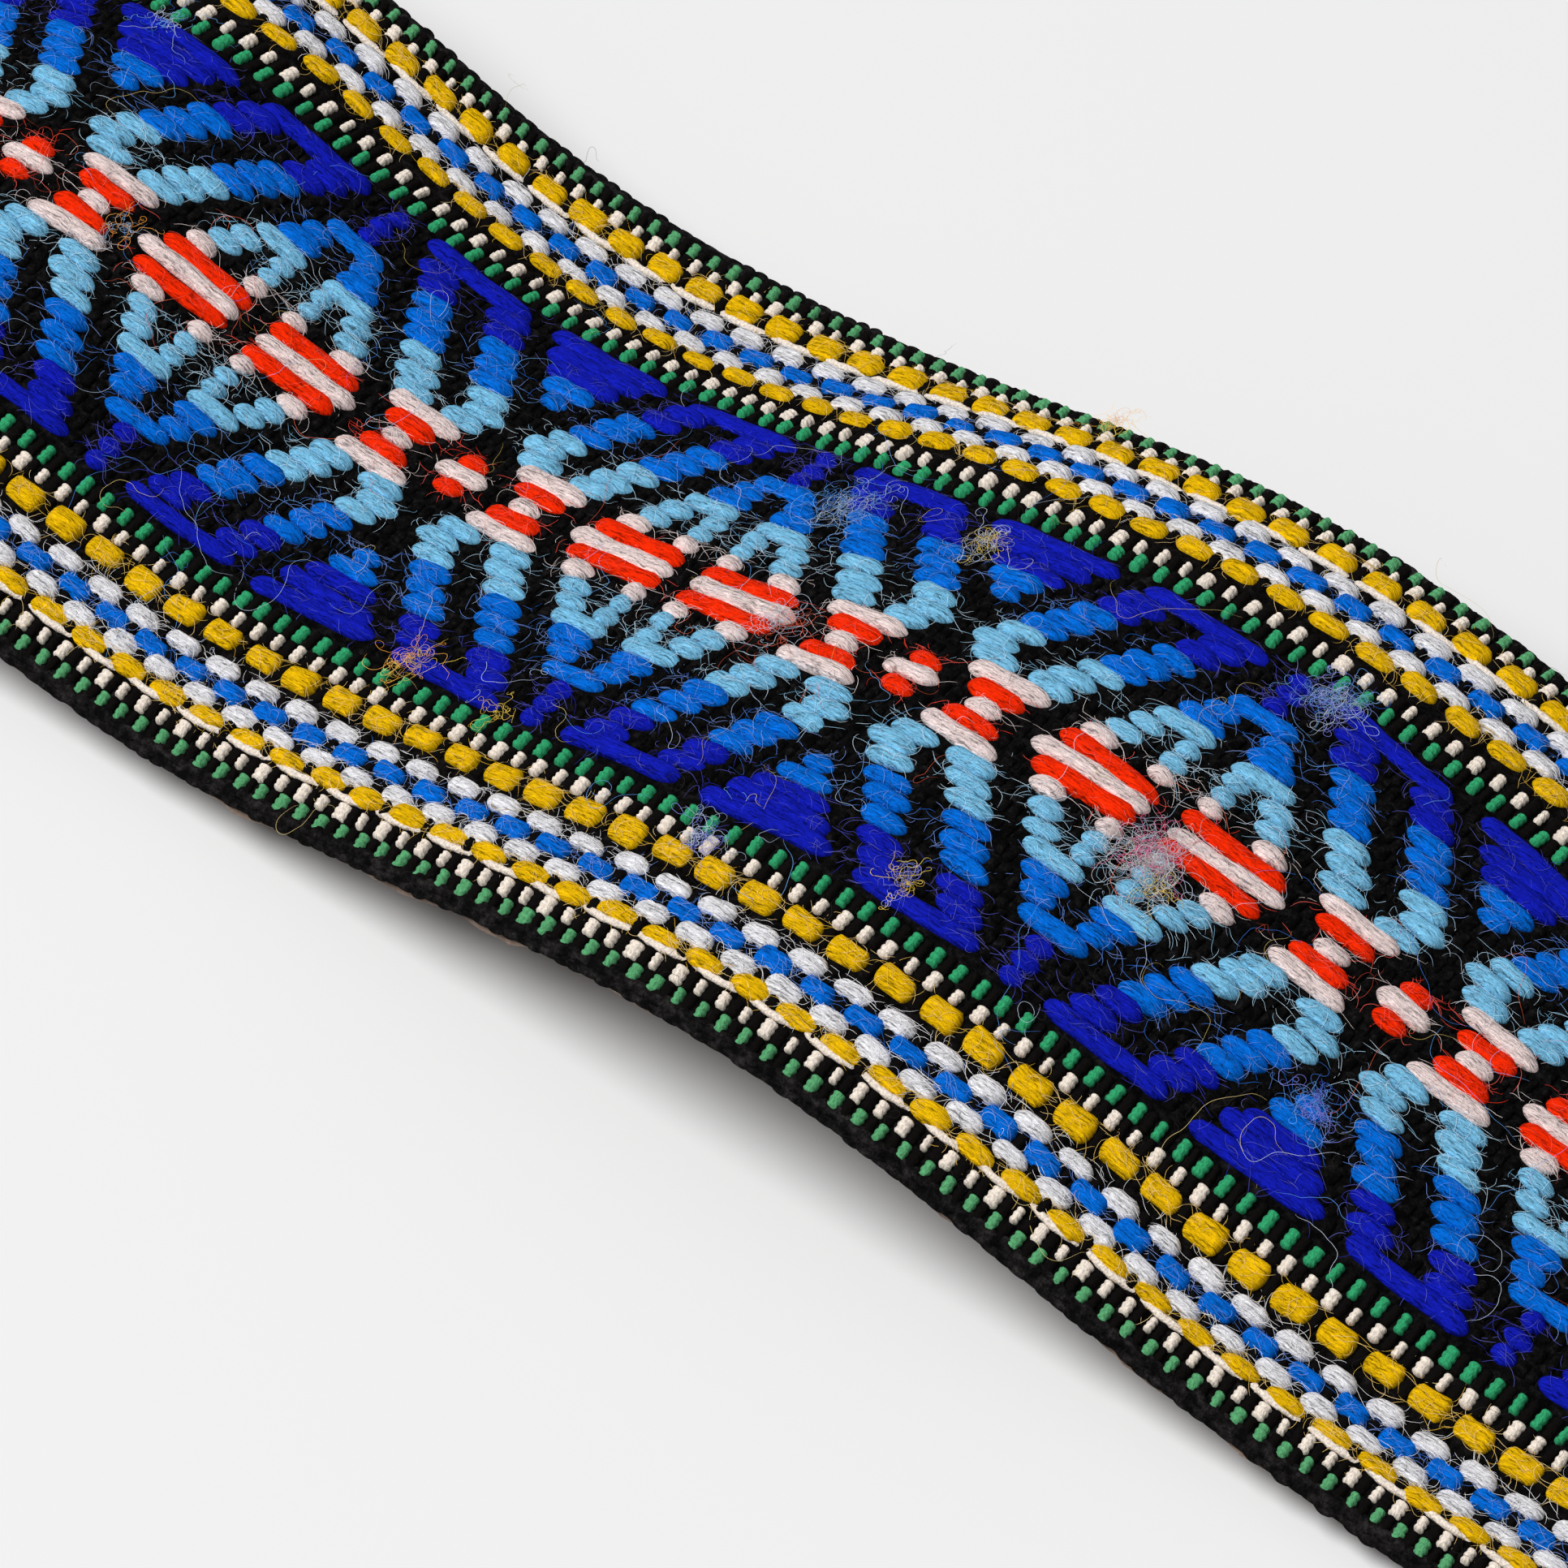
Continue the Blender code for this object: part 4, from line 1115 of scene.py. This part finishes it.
for prefix, body, tip_x, edge_x in TABS:
    for word in ("near", "far"):
        low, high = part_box(prefix + "_rivet_" + word)
        x, y = (low[0] + high[0]) / 2, (low[1] + high[1]) / 2
        cap = high[2] - 1.2 * MM
        line = [(4.5 * MM * math.sin(a), cap + 0.25 * MM + 0.95 * MM * math.cos(a))
                for a in np.radians(np.linspace(0, 90, 14))]
        line += [(4.42 * MM, cap + 0.06 * MM), (4.25 * MM, cap), (1.5 * MM, cap), (1.5 * MM, 0.5 * MM)]
        line += [(3.85 * MM, 0.5 * MM), (4.0 * MM, 0.38 * MM), (4.0 * MM, 0.12 * MM), (3.85 * MM, 0.0),
                 (0.0, 0.0)]
        around = np.linspace(0, 2 * math.pi, 48, endpoint=False)
        radius, height = np.array(line).T
        points = np.stack(np.broadcast_arrays(x + radius[:, None] * np.cos(around),
                                              y + radius[:, None] * np.sin(around), height[:, None]), -1)
        rivet = mesh_from_grid(prefix + "_rivet_cap_" + word, points[None], points[None], closed=True)
        weld(rivet)
        rivet.data.set_sharp_from_angle(angle=math.radians(40))
        rivet.data.materials.append(nickel)
        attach(rivet, body)
        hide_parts(prefix + "_rivet_" + word)

# ---------------------------------------------------------------- slider
# A nickel-plated steel slider: a bowed plate with two slots. The strap rises through one, crosses
# the low middle bar and goes down through the other. All its edges are tumbled round.
slider = bpy.data.objects.new("slider_plate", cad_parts["slider_frame"].data.copy())
slider.matrix_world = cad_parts["slider_frame"].matrix_world.copy()
bpy.context.scene.collection.objects.link(slider)
bm = bmesh.new()
bm.from_mesh(slider.data)
bmesh.ops.remove_doubles(bm, verts=bm.verts, dist=0.002 * MM)
bmesh.ops.dissolve_limit(bm, angle_limit=math.radians(0.5), verts=bm.verts, edges=bm.edges)
bm.to_mesh(slider.data)
bm.free()
tumbled = slider.modifiers.new("tumbled_edges", "BEVEL")
tumbled.width = 0.55 * MM
tumbled.segments = 4
tumbled.limit_method = "ANGLE"
tumbled.angle_limit = math.radians(40)
slider.data.materials.clear()
slider.data.materials.append(nickel)
slider.data.shade_smooth()
slider.data.set_sharp_from_angle(angle=math.radians(60))
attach(slider, "slider")
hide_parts("slider_frame")

# ---------------------------------------------------------------- ring
# A rectangular ring bent from 3.2 mm nickel-plated wire, welded shut in the middle of its outer bar.
WIRE = 1.6 * MM
low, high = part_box("ring")
bend = 3 * MM
right, left = high[0] - WIRE - bend, low[0] + WIRE + bend
back, front = high[1] - WIRE - bend, low[1] + WIRE + bend
line = []
for x, y, start in ((right, back, 0), (left, back, 90), (left, front, 180), (right, front, 270)):
    line += quarter_turns(x, y, bend, start, start + 90, 14)
    if start == 270:
        line += [(high[0] - WIRE, y) for y in np.linspace(-3, 3, 25) * MM]
line = np.array(line + line[:2])
along = np.gradient(line, axis=0)
along /= np.linalg.norm(along, axis=1)[:, None]
around = np.linspace(0, 2 * math.pi, 28, endpoint=False)
weld_bead = 0.14 * MM * np.exp(-(line[:, 1] / (0.9 * MM)) ** 2) * (line[:, 0] > high[0] - 2 * WIRE)
thick = (WIRE + weld_bead)[:, None]
aside = thick * np.cos(around)
points = np.stack(np.broadcast_arrays(
    line[:, 0:1] + aside * along[:, 1:2], line[:, 1:2] - aside * along[:, 0:1],
    (low[2] + high[2]) / 2 + thick * np.sin(around)), -1)
ring = mesh_from_grid("wire_ring", points[None], points[None], closed=True)
weld(ring)
ring.data.materials.append(nickel)
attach(ring, "ring")
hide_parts("ring")

# ---------------------------------------------------------------- tail webbing
# Black nylon webbing, 50 mm wide, doubled round the ring's outer bar and sewn into the tail leather.
# Its weave is a close rib across with fine chevrons.
WEB_THICKNESS = 1.4 * MM
outer_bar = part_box("ring")[1][0] - WIRE
web_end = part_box("tail_webbing")[1][0]
tail_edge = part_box("tail_tab_bottom")[0][0]
inner_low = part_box("tail_tab_bottom")[1][2] + GAP + WEB_THICKNESS
inner_high = inner_low + GAP
web_path = [(web_end, inner_low)]
web_path += s_bend(tail_edge - 1 * MM, inner_low, outer_bar + 3 * MM, ring_z - FOLD_RADIUS)
web_path += round_bend(outer_bar, ring_z, FOLD_RADIUS, 270, 90)
web_path += s_bend(outer_bar + 3 * MM, ring_z + FOLD_RADIUS, tail_edge - 1 * MM, inner_high)
web_path += [(web_end, inner_high)]
web_path = np.array(web_path)
web_run = np.concatenate(([0], np.cumsum(np.linalg.norm(np.diff(web_path, axis=0), axis=1))))
fine_run = np.arange(0, web_run[-1], 0.25 * MM)
fine_path = np.column_stack([np.interp(fine_run, web_run, web_path[:, side]) for side in (0, 1)])
web_left = np.gradient(fine_path, axis=0)[:, ::-1] * (-1, 1)
web_left /= np.linalg.norm(web_left, axis=1)[:, None]


def on_webbing(along, across, height):
    """Points on the webbing for places along and across it, a height off its inner face."""
    x = np.interp(along, fine_run, fine_path[:, 0]) + height * np.interp(along, fine_run, web_left[:, 0])
    z = np.interp(along, fine_run, fine_path[:, 1]) + height * np.interp(along, fine_run, web_left[:, 1])
    return np.stack((x, across, z), -1)


black_webbing, tree, shader = node_material("black_webbing")
ribs = tree.nodes.new("ShaderNodeTexWave")
ribs.wave_type = "BANDS"
ribs.bands_direction = "X"
ribs.inputs["Scale"].default_value = 0.31
ribs.inputs["Distortion"].default_value = 0.6
ribs.inputs["Detail Scale"].default_value = 3.0
tree.links.new(scaled_weave(tree, 0.9, 1.0, 0.0), ribs.inputs["Vector"])
zigzag = tree.nodes.new("ShaderNodeTexWave")
zigzag.wave_type = "BANDS"
zigzag.bands_direction = "DIAGONAL"
zigzag.inputs["Scale"].default_value = 0.55
zigzag.inputs["Distortion"].default_value = 0.4
tree.links.new(scaled_weave(tree, 1.4, 0.9, 0.0), zigzag.inputs["Vector"])
cloth = combine(tree, "ADD", ribs.outputs["Fac"], combine(tree, "MULTIPLY", zigzag.outputs["Fac"], 0.7))
cloth = combine(tree, "ADD", cloth, combine(tree, "MULTIPLY", noise(tree, scaled_weave(tree, 8.0, 8.0)), 0.5))
tint(tree, shader, combine(tree, "MULTIPLY", cloth, 0.45),
     ((0.2, (0.0025, 0.0025, 0.003)), (0.8, (0.013, 0.013, 0.0145))))
bump(tree, shader, cloth, 0.16 * MM)
shader.inputs["Roughness"].default_value = 0.75
shader.inputs["Specular IOR Level"].default_value = 0.25
shader.inputs["Sheen Weight"].default_value = 0.02

webbing = flat_layer("webbing", on_webbing, 0, fine_run[-1], 25 * MM, 0.0,
                     lambda across: WEB_THICKNESS + 0 * across, 0.5 * MM, 30)
webbing.data.materials.append(black_webbing)
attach(webbing, "tail_tab")
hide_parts("tail_webbing")
